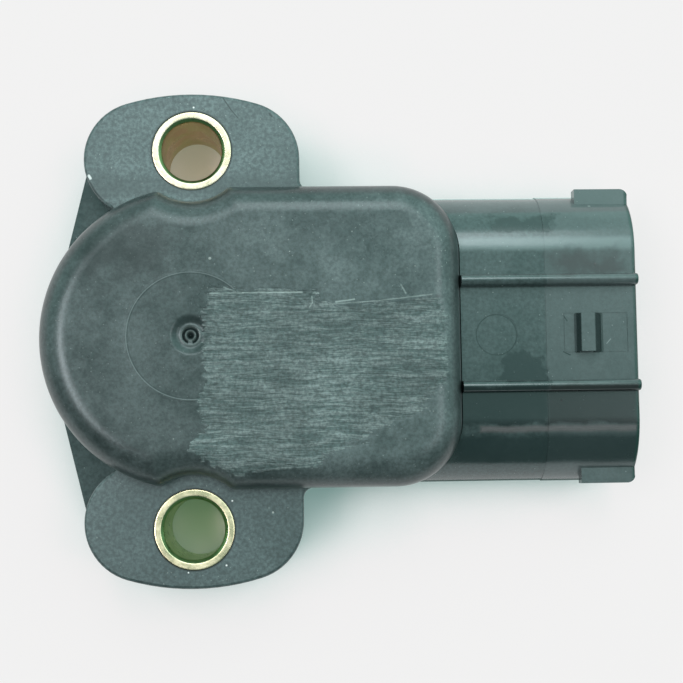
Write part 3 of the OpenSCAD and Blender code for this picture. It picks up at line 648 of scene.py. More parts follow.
def distance_to_polygon(x, y, corners):
    """Distance from each (x, y) to the polygon's edge, positive inside.

    For each edge, the nearest point is the start plus a share of the edge, held between 0 and 1.
    A point is inside if a line to the right of it crosses the edges an odd number of times.
    """
    nearest, inside = np.full(x.shape, 1e9), np.zeros(x.shape, bool)
    for (ax, ay), (bx, by) in zip(corners, np.roll(corners, -1, axis=0)):
        ex, ey = bx - ax, by - ay
        share = np.clip(((x - ax) * ex + (y - ay) * ey) / (ex * ex + ey * ey), 0, 1)
        nearest = np.minimum(nearest, np.hypot(x - ax - share * ex, y - ay - share * ey))
        crosses = (ay > y) != (by > y)
        inside ^= crosses & (x < ax + (y - ay) * ex / (ey if ey else 1e-9))
    return np.where(inside, nearest, -nearest)


def ground_share(x, y):
    """How far the surface is ground at each (x, y): 0 is untouched and 1 is ground."""
    ragged = (value_noise(x * 0.9 + 40, y * 4.0 + 40, 3) - 0.5) * 1.5
    ragged += (value_noise(x * 3.0 + 80, y * 7.0 + 60, 4) - 0.5) * 0.9
    fading = soft_step(x, 12, 24) * soft_step(-y, 3, 9)
    depth = distance_to_polygon(x, y, PATCH) + ragged * (0.45 + 0.9 * fading)
    return soft_step(depth, -0.12 - 0.6 * fading, 0.12 + 1.2 * fading)


def scratches(x, y):
    """Height of the scratches from -1 to 1: streaks along X that wander and thin out."""
    lean = np.interp(y, [-13, -9, -2, 2, 4], [0.10, 0.04, 0.0, 0.03, 0.07])
    level = y - lean * (x - 12) + (value_noise(x * 0.35 + 9, y * 0.5 + 9, 5) - 0.5) * 0.9
    coarse = value_noise(x * 0.28 + 20, level * 1.7 + 20, 6) - 0.5
    middle = value_noise(x * 0.55 + 30, level * 3.3 + 30, 7) - 0.5
    return np.clip(1.3 * coarse + 1.1 * middle, -1, 1)


# %% [markdown]
# ## The dimple over the axis
# Above the rotor the cover has a shallow round dimple with a small C-shaped groove and a pin
# mark in its middle, and a faint ring about it where the mould's insert met the cavity. The pin
# mark is a cone, because steep sides throw the light from one to the other until little is left,
# and it looks black; painted shade in the cover's material darkens it, the groove and the bowl as
# well. The mesh is finer here than elsewhere: a disc of narrow rings replaces the middle of the
# surface.

# %% Relief of the dimple and the faint waves
DIMPLE_R = 2.05
DIMPLE_DEPTH = 0.38
GROOVE_R, GROOVE_W, GROOVE_DEPTH = 0.69, 0.15, 0.2
GROOVE_OPENING = -92
PIN_R, PIN_DEPTH = 0.40, 0.5
RIM_H = 0.05
INSERT_R = 6.3
RINGS_Y = -0.1


def dimple_relief(x, y):
    """Height of the dimple: a bowl, a groove open towards -Y, a pin's cone and a low rim."""
    r, angle = np.hypot(x, y), np.degrees(np.arctan2(y, x))
    bowl = -DIMPLE_DEPTH * (1 - soft_step(r, 0.55 * DIMPLE_R, DIMPLE_R))
    opening = soft_step(np.abs((angle - GROOVE_OPENING + 180) % 360 - 180), 14, 26)
    ditch = 1 - soft_step(np.abs(r - GROOVE_R), 0.3 * GROOVE_W, GROOVE_W)
    pin = -PIN_DEPTH * np.clip(1 - r / PIN_R, 0, 1)
    rim = RIM_H * np.exp(-((r - GROOVE_R - 0.3) / 0.12) ** 2)
    return bowl - GROOVE_DEPTH * opening * ditch + pin + rim


def faint_relief(x, y):
    """Waves a few hundredths of a millimetre high, and the ring left by the mould's insert."""
    waves = (value_noise(x * 0.16 + 3, y * 0.16 + 3, 11) - 0.5) * 0.05
    ring = 0.014 * np.exp(-((np.hypot(x, y - RINGS_Y) - INSERT_R) / 0.11) ** 2)
    return waves - 0.025 + ring


# %% [markdown]
# ## The cover as one closed surface
# The cover is one shell: the roof, the rounded edge, the wall, the tongue that sits in the
# housing's groove, and the boss inside that holds the rotor's pivot. All of it is one stack of
# curves, from the middle of the roof outwards, down, in, and back to the middle underneath. The
# roof runs from a disc round the dimple, and from a line along the middle, out to the edge, so
# its rows lie nearly along the scratches.

# %% The cover's roof, edge and inside
ROUND = 3.0
WALL = 1.8
ROOF = 2.0
TONGUE = (0.6, 1.2, 0.5)
PIVOT_R, PIVOT_BOSS_R, PIVOT_TOP = 2.05, 3.2, 12.2
INNER_TIP = 0.15
DISC_R = 2.6
DISC_RINGS = 30
ROOF_ROWS = 72
EDGE_ROWS = 14


def at_height(curve, z):
    """A flat outline as points in space at height z."""
    return np.column_stack([curve, np.full(len(curve), z)])


def roof_middle(edge):
    """Where each row of the roof starts, and the angle of each start round the disc.

    Points of the edge beyond the disc start straight below or above on the middle line. The
    others start on the disc's circle, at angles spread evenly from 0 to a half turn.
    """
    half = len(edge) // 2
    upper = edge[:half + 1]
    first = int(np.argmax(upper[:, 0] < DISC_R))
    angle = np.zeros(half + 1)
    angle[first:] = np.linspace(0, math.pi, half + 2 - first)[1:]
    start = np.column_stack([DISC_R * np.cos(angle), DISC_R * np.sin(angle)])
    start[:first, 0] = np.minimum(upper[:first, 0], flat_end - CORNER_R)
    start[:first, 1] = 0
    mirrored = slice(half - 1, 0, -1)
    return (np.concatenate([start, start[mirrored] * (1, -1)]),
            np.concatenate([angle, -angle[mirrored]]))


roof_edge = cover_outline(ROUND)
roof_start, disc_angle = roof_middle(roof_edge)
rings = np.linspace(0, DISC_R, DISC_RINGS + 1)[:, None]
disc = np.stack([rings * np.cos(disc_angle), rings * np.sin(disc_angle)], -1)
share = np.linspace(0, 1, ROOF_ROWS + 1)[:, None, None]
roof = roof_start * (1 - share) + roof_edge * share
lean = np.linspace(math.pi / 2, 0, EDGE_ROWS + 1)
ceiling = cover_top - ROOF
boss_z = corners["wave_washer"][1].z + 0.02
boss_turn = np.arctan2(roof_edge[:, 1], roof_edge[:, 0])
boss_ring = np.column_stack([np.cos(boss_turn), np.sin(boss_turn)])

disc_strip = strip(np.stack([at_height(c, cover_top) for c in disc]))
roof_strip = strip(np.stack([at_height(c, cover_top) for c in roof]))
edge_strip = strip(np.stack([at_height(cover_outline(ROUND * (1 - math.cos(a))),
                                       cover_top - ROUND + ROUND * math.sin(a)) for a in lean]))
print("roof points:", disc.shape[0] * disc.shape[1] + roof.shape[0] * roof.shape[1])

# %% [markdown]
# ## The cover's plastic
# Where it was never ground, the plastic is dark, slightly glossy and clouded. A factor paints
# light and shade into its colour, which changes slowly over the cover: paler towards the right
# end and darker towards the bottom. The same factor also darkens the upper left. It is raised to a
# power that is 1 on the roof and 0 on the rounded edge, where it therefore has no say, and the
# rounded edge is painted a quarter darker. Low on the rounded edge and on the wall, except at the
# right end, the colour is paler: a painted reflection.
#
# Grinding tore its skin: the patch scatters light, so it is paler and matt, with streaks along
# the wheel's path. Coarse streaks are in the mesh, and the material adds finer ones from noise
# that is squeezed across the path and drawn out along it. Pale lines of painted highlight run
# along the patch's upper edge. Thin rings of painted shade and painted highlight go round the
# dimple: dark in the groove, the pin mark and on the bowl, pale on either side of the groove, and
# a pale and a dark line along the insert's ring.

# %% The cover's material
TORN_DARK, TORN_LIGHT = (0.050, 0.082, 0.079, 1), (0.168, 0.216, 0.211, 1)
EDGE_HIGHLIGHT_COLOUR = (0.36, 0.45, 0.43, 1)
WALL_PAINTED_REFLECTION = (0.150, 0.205, 0.185, 1)
# Each painted highlight along the patch's upper edge: where it starts and ends, its width and its
# strength.
PAINTED_EDGE_HIGHLIGHTS = [((1.95, 4.00), (5.2, 4.03), 0.13, 0.6), ((5.1, 4.05), (10.9, 4.02), 0.12, 1.0),
         ((12.0, 3.95), (12.5, 3.92), 0.12, 0.6), ((11.85, 3.6), (11.9, 3.0), 0.13, 0.7),
         ((11.9, 3.0), (11.6, 2.55), 0.12, 0.6), ((14.2, 3.05), (16.0, 3.3), 0.12, 0.7),
         ((3.3, 4.6), (4.4, 4.15), 0.12, 0.5), ((20.6, 4.65), (21.05, 3.85), 0.12, 0.45),
         ((12.6, 2.75), (18.5, 3.15), 0.10, 0.35), ((18.5, 3.15), (23.6, 3.7), 0.10, 0.4)]
# Each ring of painted shade or painted highlight about the dimple: its radius, its width, its
# strength and its colour.
PAINTED_DIMPLE_RINGS = [(6.22, 0.06, 0.6, (0.17, 0.21, 0.21)), (6.10, 0.08, 0.55, (0.012, 0.022, 0.022)),
         (1.6, 0.5, 0.35, (0.012, 0.022, 0.022)), (0.93, 0.13, 0.4, (0.14, 0.18, 0.17)),
         (GROOVE_R, 0.16, 0.95, (0.003, 0.008, 0.008)), (0.47, 0.12, 0.5, (0.14, 0.18, 0.17)),
         (0.0, 0.50, 0.97, (0.002, 0.006, 0.006))]

cover_plastic, t, shader, place, look = finish(
    "cover_plastic", (0.030, 0.043, 0.043), (0.078, 0.104, 0.104), (0.27, 0.37), cloud=130,
    dusty=0.45, relief=0.03, grains=3000, gloss=0.75, mottle=0.3)
ground = t.add("ShaderNodeAttribute", out="Fac", attribute_name="ground")
streak = t.add("ShaderNodeAttribute", out="Fac", attribute_name="streak")
wander = t.math("SUBTRACT", t.noise(place, 160.0, 2.0), 0.5)
shifted = t.vector("ADD", place, t.add("ShaderNodeCombineXYZ",
                                       {"Y": t.math("MULTIPLY", wander, 0.9 * MM)}))
drawn = t.noise(t.stretch(shifted, (300, 3600, 300)), 1.0, 3.0, 0.6)
hair = t.noise(t.stretch(shifted, (1100, 8000, 1100)), 1.0, 2.0, 0.6)
lines = t.math("ADD", t.math("MULTIPLY", drawn, 0.6), t.math("MULTIPLY", hair, 0.4))
lines = t.math("ADD", lines, t.math("MULTIPLY", streak, 0.10))
torn = t.between(lines, 0.36, 0.66)
worn = t.between(t.math("ADD", ground, t.math("MULTIPLY", t.math("SUBTRACT", torn, 0.5), 0.5)),
                 0.3, 0.7)
skin = t.mix(torn, TORN_DARK, TORN_LIGHT)
x, y, z = t.parts(place)
# Painted light and shade: paler towards the right end, darker towards the bottom and in the upper
# left, and a quarter darker on the rounded edge.
painted_light_and_tone = t.math("MULTIPLY", t.between(x, -6 * MM, 24 * MM, 0.85, 1.5),
                 t.between(y, -12 * MM, 2 * MM, 0.8, 1.05))
corner = t.group(ragged_field, {"Place": place, "Middle": (-6.5 * MM, 8.5 * MM, 0), "Ragged": 9 * MM,
                         "Half size": (4 * MM, 2.5 * MM, 0), "Soft": 3.5 * MM})
painted_light_and_tone = t.math("MULTIPLY", painted_light_and_tone, t.between(corner, 0, 1, 1.0, 0.4))
painted_light_and_tone = t.math("POWER", painted_light_and_tone, t.between(z, 12.6 * MM, 13.75 * MM))
painted_light_and_tone = t.math("MULTIPLY", painted_light_and_tone, t.between(z, 12.6 * MM, 13.75 * MM, 0.75, 1.0))
untouched = t.mix(1.0, look["colour"], painted_light_and_tone, "MULTIPLY")
level_place = t.vector("MULTIPLY", place, (1, 1, 0))
away = t.vector("DISTANCE", level_place, (0, RINGS_Y * MM, 0), out="Value")
opening = (-0.02 * MM, (RINGS_Y - GROOVE_R) * MM, 0)
from_opening = t.vector("DISTANCE", level_place, opening, out="Value")
# Painted shade and painted highlight in rings round the dimple.
for radius, width, strength, shade in PAINTED_DIMPLE_RINGS:
    ring = t.between(t.math("ABSOLUTE", t.math("SUBTRACT", away, radius * MM)),
                     width * 0.4 * MM, width * MM, strength, 0)
    if radius == GROOVE_R:
        ring = t.math("MULTIPLY", ring, t.between(from_opening, 0.12 * MM, 0.28 * MM))
    untouched = t.mix(ring, untouched, (*shade, 1))
# Painted reflection: the low part of the rounded edge and the wall are paler, except at the right
# end.
wall = t.math("MULTIPLY", t.between(z, 12.1 * MM, 11.0 * MM, 0, 0.6),
              t.between(x, 25 * MM, 22 * MM))
untouched = t.mix(wall, untouched, WALL_PAINTED_REFLECTION)
uneven = t.math("MULTIPLY", t.between(look["height"], 0.32, 0.68, 0.56, 1.26),
                t.between(look["clouds"], 0, 1, 0.78, 1.18))
torn_skin = t.mix(1.0, skin, uneven, "MULTIPLY")
colour = t.mix(worn, untouched, torn_skin)
# Painted highlight along the ground patch's upper edge.
for start, end, width, strength in PAINTED_EDGE_HIGHLIGHTS:
    line_mask = t.group(mark, {"Place": place, "From": [v * MM for v in (*start, cover_top)],
                               "To": [v * MM for v in (*end, cover_top)], "Width": width * MM})
    broken = t.math("MULTIPLY", line_mask, t.between(hair, 0.3, 0.55, 0.4 * strength, strength))
    colour = t.mix(broken, colour, EDGE_HIGHLIGHT_COLOUR)
t.links.new(colour, shader.inputs["Base Color"])
t.links.new(t.math("MAXIMUM", look["rough"], t.math("MULTIPLY", worn, 0.62)),
            shader.inputs["Roughness"])
t.links.new(t.bump(t.math("MULTIPLY", torn, worn), 0.03 * MM,
                   normal=t.bump(look["height"], 0.01 * MM)), shader.inputs["Normal"])
print("marks on the cover:", len(PAINTED_EDGE_HIGHLIGHTS), "rings:", len(PAINTED_DIMPLE_RINGS))

# %% [markdown]
# ## From outside and inside to one shell
# The outer curves are pressed in by the relief. The curves that follow them go down the wall,
# round the tongue, up inside to the ceiling and down again round the pivot's boss.

# %% Relief on the cover, and the inside that closes it
def with_relief(points):
    """Sinks the cover's outer points by the relief, and returns how ground and scratched each is.

    On the rounded edge the surface leans, so its share of the relief is how level it is there.
    """
    x, y, z = points.T
    level = np.clip((z - (cover_top - ROUND)) / ROUND, 0, 1) ** 2
    ground, streak = ground_share(x, y), scratches(x, y)
    cut = ground * (SCRATCH_DEPTH * (streak - 1) / 2 - PATCH_DEPTH)
    relief = (cut + faint_relief(x, y) * (1 - ground) + dimple_relief(x, y)) * level
    moved = points + np.stack([0 * x, 0 * x, np.minimum(relief, 0)], -1)
    return moved, ground * np.sqrt(level), streak


outside, outside_faces = joined([disc_strip, roof_strip, edge_strip])
outside, ground, streak = with_relief(outside)

inset_a, inset_b, tongue_h = TONGUE
under = ear_top - tongue_h
rim = [(0, TIP_R, cover_top - ROUND), (0, TIP_R, ear_top), (inset_a, INNER_TIP, ear_top),
       (inset_a, INNER_TIP, under), (inset_b, INNER_TIP, under), (inset_b, INNER_TIP, ear_top),
       (WALL, INNER_TIP, ear_top), (WALL, INNER_TIP, ceiling)]
boss = [(PIVOT_BOSS_R, ceiling), (PIVOT_BOSS_R, boss_z), (PIVOT_R, boss_z),
        (PIVOT_R, PIVOT_TOP), (0, PIVOT_TOP)]
inside_strip = strip(np.stack([at_height(cover_outline(inset, tip), z) for inset, tip, z in rim]
                              + [at_height(boss_ring * r, z) for r, z in boss]))
shell, shell_faces = joined([(outside, outside_faces), inside_strip])
plain = np.zeros(len(inside_strip[0]))
cover = add_piece("cover_shell", shell, shell_faces, cover_plastic,
                  slot="cover_plastic", ground=np.concatenate([ground, plain]),
                  streak=np.concatenate([streak, plain]))
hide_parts("cover")

# %% [markdown]
# ## Bushings
# Each ear is clamped through a steel bushing, a short tube that takes the bolt's force so that
# the plastic doesn't creep. It was cut from bar: its bore has a chamfer, its end is faced flat,
# and its outer edge is slightly broken. It is turned from one closed profile.

# %% Bushings from a turned profile
BORE_R = 3.0
CHAMFER = 0.35
EDGE_BREAK = 0.12
TURN_POINTS = 128


def turned(profile, centre, count=TURN_POINTS):
    """A ring of points for each (radius, height) of the profile, round an upright axis."""
    angle = 2 * math.pi * np.arange(count) / count
    circle = np.stack([np.cos(angle), np.sin(angle), 0 * angle], -1)
    return np.stack([circle * (r, r, 0) + (*centre, z) for r, z in profile])


def rounded(corner, before, after, count=5):
    """A corner of a profile cut round: a curve from before to after that bends at the corner.

    The point at share t is (1-t)^2 before + 2t(1-t) corner + t^2 after.
    """
    t = np.linspace(0, 1, count)[:, None]
    before, corner, after = (np.array(p, float) for p in (before, corner, after))
    return ((1 - t) ** 2 * before + 2 * t * (1 - t) * corner + t ** 2 * after).tolist()


def bushing_profile():
    """One end of the bushing from the bore's middle out to the outer wall, then mirrored."""
    lip, out = BORE_R + CHAMFER, bushing_r
    soft = 0.06
    end = [(BORE_R, ear_top / 2), (BORE_R, ear_top - CHAMFER - 1.2)]
    end += rounded((BORE_R, ear_top - CHAMFER), (BORE_R, ear_top - CHAMFER - soft),
                   (BORE_R + soft, ear_top - CHAMFER + soft))
    end += rounded((lip, ear_top), (lip - soft, ear_top - soft), (lip + soft, ear_top))
    end += [(lip + 0.2, ear_top), (out - 0.25, ear_top)]
    end += rounded((out, ear_top), (out - EDGE_BREAK, ear_top), (out, ear_top - EDGE_BREAK))
    end += [(out, ear_top / 2)]
    return end + [(r, ear_top - z) for r, z in end[::-1]]


# %% [markdown]
# ## Yellow zinc plating
# The bushings are zinc plated and then passivated in a yellow bath. The film is so thin that its
# colour changes with its thickness: straw on the faces, green in the chamfer and olive to reddish
# brown down the bore. Each zone is found from the distance to the bushing's axis. The faces also
# carry fine rings from the facing tool. The lower bushing's film is the greener of the two.

# %% The plating's material
FACE_DARK, FACE_LIGHT = (0.66, 0.62, 0.40), (0.93, 0.92, 0.74)
TURNED_RING = (0.80, 0.70, 0.56, 1)
LOWER_FACE = (1.0, 0.93, 0.56, 1)
CHAMFER_COLOUR = (0.22, 0.36, 0.16, 1)
UPPER_BORE = (0.54, 0.47, 0.22, 1), (0.60, 0.43, 0.27, 1)
LOWER_BORE = (0.42, 0.56, 0.25, 1), (0.57, 0.66, 0.40, 1)


def from_bushing_axis(t, x, y):
    """The distance to the nearer bushing's axis: the root of x squared plus (|y| - hole_y)
    squared."""
    off_y = t.math("SUBTRACT", t.math("ABSOLUTE", y), hole_y * MM)
    return t.math("SQRT", t.math("ADD", t.math("MULTIPLY", x, x),
                                 t.math("MULTIPLY", off_y, off_y)))


bushing_steel, t, shader, place, look = finish(
    "bushing_steel", FACE_DARK, FACE_LIGHT, (0.26, 0.40), 1.0, cloud=500, relief=0.004)
x, y, z = t.parts(place)
radius = from_bushing_axis(t, x, y)
rings = t.noise(t.add("ShaderNodeCombineXYZ", {"X": radius}), 9000.0, 2.0)
patches = t.between(t.noise(place, 420.0, 2.0), 0.35, 0.65)
lower = t.math("LESS_THAN", y, 0.0)
bore = t.mix(lower, t.mix(patches, *UPPER_BORE), t.mix(patches, *LOWER_BORE))
face = t.mix(t.math("MULTIPLY", rings, 0.6), look["colour"], TURNED_RING)
face = t.mix(t.math("MULTIPLY", lower, 0.55), face, LOWER_FACE)
in_chamfer = t.between(radius, (BORE_R + CHAMFER) * MM, (BORE_R + CHAMFER - 0.05) * MM)
in_bore = t.between(radius, (BORE_R + 0.08) * MM, (BORE_R + 0.03) * MM)
colour = t.mix(in_bore, t.mix(in_chamfer, face, CHAMFER_COLOUR), bore)
t.links.new(colour, shader.inputs["Base Color"])
t.links.new(t.bump(rings, 0.006 * MM), shader.inputs["Normal"])

# %% [markdown]
# ## Two bushings from one profile
# Both ears hold the same bushing, so one profile is turned round each hole's axis.

# %% Both bushings
for name, side in (("upper_bushing", 1), ("lower_bushing", -1)):
    points, faces = strip(turned(bushing_profile(), (0, side * hole_y)))
    ring = add_piece(name + "_turned", points, faces, bushing_steel, slot="bushing_steel",
                     sharp=50)
    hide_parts(name)
print("plating from the bore at", BORE_R, "to the face at", BORE_R + CHAMFER)

# %% [markdown]
# ## The housing's plastic
# The housing is darker and glossier than the cover, except on the ears, which are matt from the
# mould. The ears are paler than the rest, and their colour grows paler towards +Y: painted light.
# A dark ring of painted shade goes round each bushing. The shroud's top was formed by a separate
# slide of the mould, whose end left a fine line across it, and beyond that line the colour is a
# little paler: a painted reflection. Darker and paler fields lie along the ribs. Some are painted
# light: painted highlights where the top starts to round and where the lower round starts,
# painted reflections along the upper edge, above the band and below the ejector's mark, and
# painted shade on the lower round and on the sides of the latch's nose. The others are only
# darker. They are laid over each other in the order of the list, and they fade out below half
# the height, since they are known for the upper side only. Scratches, the round mark of an
# ejector pin, painted highlights on a burr and on the slide's line, and a few pale flecks follow.

# %% The housing's plastic
WITNESS = 35.25
EAR_PAINTED_LIGHT = (1.25, 1.75)
FLECK_COLOUR = (0.85, 0.9, 0.88, 1)
# Each field of painted light or darker tone: its lower left and upper right corners, how ragged
# and how soft its edge is in millimetres, its strength, its colour and its roughness, where 0
# keeps that of the plastic.
PAINTED_LIGHT_AND_TONE_FIELDS = [
    # Painted reflection: paler beyond the slide's line.
    ((WITNESS, -15), (46, 15), 0.0, 0.05, 0.5, (0.088, 0.108, 0.110), 0.0),
    # Painted reflection: a pale strip along the shroud's upper edge.
    ((24, 12.6), (46, 16), 1.5, 1.2, 0.6, (0.120, 0.160, 0.158), 0.0),
    # Painted highlight: the band where the top starts to round.
    ((24, 8.45), (46, 9.7), 0.3, 0.3, 0.75, (0.160, 0.215, 0.215), 0.0),
    # Painted dark reflection above the band.
    ((29.9, 10.4), (36.6, 12.0), 4.5, 0.45, 0.9, (0.010, 0.018, 0.018), 0.3),
    ((36.2, 6.2), (43.0, 8.0), 4.0, 0.9, 0.85, (0.034, 0.028, 0.030), 0.25),
    # Painted dark reflection below the ejector's mark.
    ((30.6, -5.2), (WITNESS - 0.05, -2.0), 5.0, 0.25, 0.9, (0.010, 0.018, 0.019), 0.0),
    ((26, -9.1), (WITNESS, -5.2), 1.6, 0.3, 0.95, (0.006, 0.011, 0.012), 0.0),
    ((WITNESS, -9.1), (46, -5.2), 1.0, 0.3, 0.95, (0.012, 0.010, 0.011), 0.2),
    # Painted shade on the lower round.
    ((26, -13.0), (46, -10.1), 0.8, 0.5, 0.8, (0.004, 0.012, 0.013), 0.0),
    # Painted highlight where the lower round starts.
    ((28.5, -9.85), (44.2, -9.25), 0.35, 0.2, 0.7, (0.110, 0.100, 0.102), 0.4),
    # Painted shade: the steep sides of the latch's nose.
    ((38.25, -2.0), (38.65, 2.0), 0.1, 0.05, 0.9, (0.005, 0.011, 0.011), 0.0),
    ((39.98, -2.0), (41.0, 2.0), 0.1, 0.05, 0.9, (0.005, 0.011, 0.011), 0.0),
    ((44.15, -15), (46, 15), 0.2, 0.15, 0.85, (0.004, 0.035, 0.026), 0.0),
    ((-13, 14.5), (12, 16.5), 3.0, 0.6, 0.5, (0.020, 0.034, 0.034), 0.0)]
DARK, BURR_HIGHLIGHT = (0.008, 0.016, 0.016), (0.75, 0.82, 0.80)
# Each scratch or painted highlight: where it starts and ends, its width and its colour.
SCRATCHES_AND_HIGHLIGHTS = [((3.21, 24.39, 10), (4.01, 23.16, 10), 0.09, DARK),
             ((4.01, 23.16, 10), (4.70, 22.33, 10), 0.07, DARK),
             ((7.9, 22.75, 10), (8.1, 22.5, 10), 0.14, DARK),
             # Painted highlight on a burr.
             ((-10.3, 16.5, 10), (-10.15, 16.25, 10), 0.2, BURR_HIGHLIGHT),
             ((-0.75, 13.75, 10), (-0.05, 13.75, 10), 0.16, DARK),
             ((41.35, -1.1, 11.3), (41.75, -0.65, 11.3), 0.07, (0.18, 0.22, 0.22)),
             # Painted highlight on the step of the slide's line.
             ((WITNESS, -8.2, 11.3), (WITNESS, 8.2, 11.3), 0.07, (0.16, 0.20, 0.20)),
             ((37.1, 1.7, 11.3), (37.4, 1.2, 11.3), 0.08, DARK),
             ((37.0, -1.9, 11.3), (37.6, -2.2, 11.3), 0.10, DARK)]
EJECTOR, EJECTOR_R = (30.28, -0.11, 11.3), 2.03
# Each fleck: its place and its radius.
FLECKS = [((0.24, 23.43, 10), 0.13), ((3.76, -16.22, 10), 0.12), ((3.13, -22.56, 10), 0.13),
          ((-0.62, -23.21, 10), 0.11), ((39.13, -1.97, 12.2), 0.16), ((43.4, 12.6, 9.0), 0.16)]

housing_plastic, t, shader, place, look = finish(
    "housing_plastic", (0.028, 0.044, 0.044), (0.054, 0.078, 0.078), (0.14, 0.20), cloud=120,
    dusty=0.2, relief=0.006, grains=2600, gloss=1.0, mottle=0.28)
x, y, z = t.parts(place)
upside = t.between(z, 4.0 * MM, 5.5 * MM)
on_ear = t.math("MULTIPLY", t.between(z, 9.6 * MM, 9.9 * MM), t.between(x, 14 * MM, 12 * MM))
# Painted light: the ears grow paler towards +Y, shaded a little by the grain.
ear_light_and_grain = t.math("MULTIPLY", t.between(y, -20 * MM, 18 * MM, *EAR_PAINTED_LIGHT),
                   t.between(look["height"], 0.32, 0.68, 0.8, 1.2))
paler = t.mix(1.0, look["colour"], ear_light_and_grain, "MULTIPLY")
colour = t.mix(on_ear, look["colour"], paler)
radius = from_bushing_axis(t, x, y)
# Painted shade: a dark ring in the crevice round each bushing.
painted_gap_shade = t.between(radius, (bushing_r + 0.08) * MM, (bushing_r + 0.2) * MM, 0.9, 0)
colour = t.mix(painted_gap_shade, colour, (0.004, 0.008, 0.007, 1))
matt = t.math("MULTIPLY", on_ear, 0.42)
for low, high, ragged, soft, strength, shade, dull in PAINTED_LIGHT_AND_TONE_FIELDS:
    middle = [(a + b) / 2 * MM for a, b in zip(low, high)]
    half = [(b - a) / 2 * MM for a, b in zip(low, high)]
    mask = t.group(ragged_field, {"Place": place, "Middle": (*middle, 0), "Half size": (*half, 0),
                           "Ragged": ragged * MM, "Soft": soft * MM})
    mask = t.math("MULTIPLY", mask, t.math("MULTIPLY", upside, strength))
    colour = t.mix(mask, colour, (*shade, 1))
    matt = t.math("MAXIMUM", matt, t.math("MULTIPLY", mask, dull))
for start, end, width, shade in SCRATCHES_AND_HIGHLIGHTS:
    line_mark = t.group(mark, {"Place": place, "From": [v * MM for v in start],
                             "To": [v * MM for v in end], "Width": width * MM})
    colour = t.mix(line_mark, colour, (*shade, 1))
away = t.vector("DISTANCE", place, [v * MM for v in EJECTOR], out="Value")
ring = t.between(t.math("ABSOLUTE", t.math("SUBTRACT", away, EJECTOR_R * MM)), 0.03 * MM,
                 0.09 * MM, 0.75, 0)
colour = t.mix(ring, colour, (*DARK, 1))
for spot, size in FLECKS:
    spot = [v * MM for v in spot]
    fleck = t.group(mark, {"Place": place, "From": spot, "To": spot, "Width": size * MM})
    colour = t.mix(fleck, colour, FLECK_COLOUR)
t.links.new(colour, shader.inputs["Base Color"])
t.links.new(t.math("MAXIMUM", look["rough"], matt), shader.inputs["Roughness"])
print("painted_light_and_tone_fields:", len(PAINTED_LIGHT_AND_TONE_FIELDS), "scratches:", len(SCRATCHES_AND_HIGHLIGHTS), "flecks:", len(FLECKS))

# %% [markdown]
# ## Housing
# The housing is the CAD solid itself. A moulded part has no knife edges, so a merged copy of the
# node's triangles gets small rounds: each edge carries a weight, and the Bevel modifier cuts it
# by that share of its width. The outlines of the ears and the mouth of the socket get the most.
# The CAD node's own normals belong to its loose triangles, so the copy drops them. Edges that
# turn by less than a set angle are shaded as one curve, and the others stay sharp.

# %% Housing
ROUND_EDGE = 0.3
SHARP_ANGLE = 22


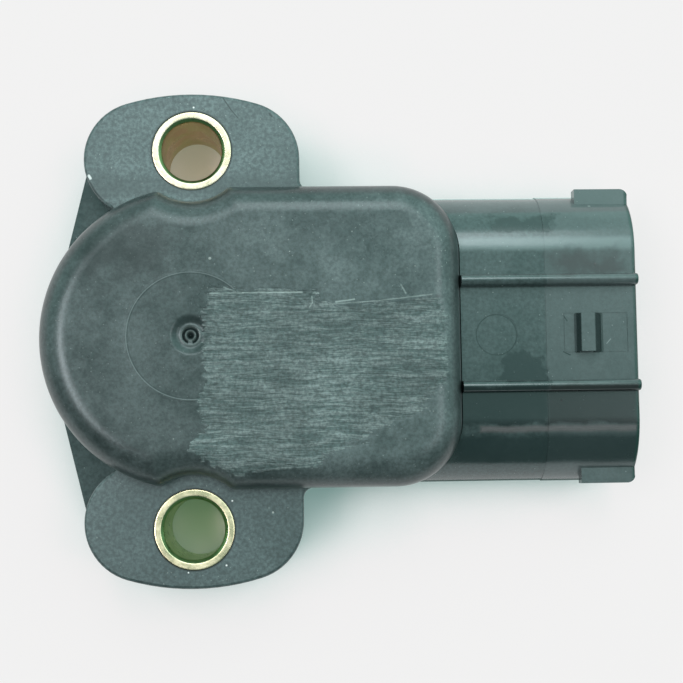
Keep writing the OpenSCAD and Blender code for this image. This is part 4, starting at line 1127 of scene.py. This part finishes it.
def rounded_copy(node, name, weigh, material, body=BODY):
    """A merged copy of a CAD node whose edges are rounded where weigh gives more than 0.

    weigh gets arrays: both ends of each edge in millimetres, and the angle between its faces.
    """
    mesh = nodes[node].data.copy()
    mesh.name = name
    kept_normals = mesh.attributes.get("custom_normal")
    if kept_normals:
        mesh.attributes.remove(kept_normals)
    work = bmesh.new()
    work.from_mesh(mesh)
    bmesh.ops.remove_doubles(work, verts=work.verts, dist=1e-3 * MM)
    bmesh.ops.dissolve_limit(work, angle_limit=math.radians(0.4), verts=work.verts,
                             edges=work.edges)
    work.edges.ensure_lookup_table()
    ends = np.array([[v.co[:] for v in e.verts] for e in work.edges]) / MM
    angle = np.degrees([e.calc_face_angle(0) for e in work.edges])
    weights = weigh(ends[:, 0], ends[:, 1], angle)
    layer = work.edges.layers.float.new("bevel_weight_edge")
    for edge, weight, bend in zip(work.edges, weights, angle):
        edge[layer] = weight
        edge.smooth = bool(bend < SHARP_ANGLE)
    for face in work.faces:
        face.smooth = True
    work.to_mesh(mesh)
    work.free()
    mesh.materials.clear()
    mesh.materials.append(material)
    piece = bpy.data.objects.new(name, mesh)
    scene.collection.objects.link(piece)
    bevel = piece.modifiers.new("rounds", "BEVEL")
    bevel.limit_method, bevel.width, bevel.segments = "WEIGHT", ROUND_EDGE * MM, 3
    bevel.use_clamp_overlap = False
    flat = piece.modifiers.new("shading", "WEIGHTED_NORMAL")
    flat.keep_sharp = True
    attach(piece, body)
    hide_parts(node)
    print(name, "edges rounded:", int((weights > 0).sum()))
    return piece


def housing_weights(a, b, angle):
    """1 on the outlines of the ears' pads and under faces, and less on other outer edges."""
    middle = (a + b) / 2
    x, y, z = middle.T
    level = np.abs(a[:, 2] - b[:, 2]) < 0.01
    clear = np.minimum(np.hypot(x, y - hole_y), np.hypot(x, y + hole_y)) > bushing_r + 0.4
    beyond = (np.hypot(x, y) > body_r + 0.03) & (x < 12.5)
    weight = np.where(level & clear & beyond & (np.abs(z - ear_top) < 0.01), 1.0, 0.0)
    weight[level & clear & (z < 0.01) & (np.hypot(x, y) > 13.5)] = 0.7
    mouth = (np.abs(a[:, 0] - cad_high.x / MM) < 0.01) & (np.abs(b[:, 0] - a[:, 0]) < 0.01)
    weight[mouth] = 0.6
    return np.where(angle > 40, weight, 0)


housing = rounded_copy("housing", "housing_moulding", housing_weights, housing_plastic)

# %% [markdown]
# ## The pieces inside
# The rotor, the springs, the board with its tracks and the blades are hidden by the cover. They
# keep their CAD shape, because it already has every detail that someone who takes the cover off
# would look for, and each gets the finish of its material slot.

# %% Finishes for the kept nodes
for name, item in nodes.items():
    if not item.hide_render:
        item.data.materials.clear()
        item.data.materials.append(made[slot_of[name]][0])
print("kept nodes:", sum(not item.hide_render for item in nodes.values()))

# %% [markdown]
# ## Is it still the same size?
# Looks must not change the part's size, so its box is printed, as the CAD's box was at the start.

# %% Sizes and the end
low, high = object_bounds()
print("box now in mm:", [round(v / MM, 2) for v in (*low, *high)])
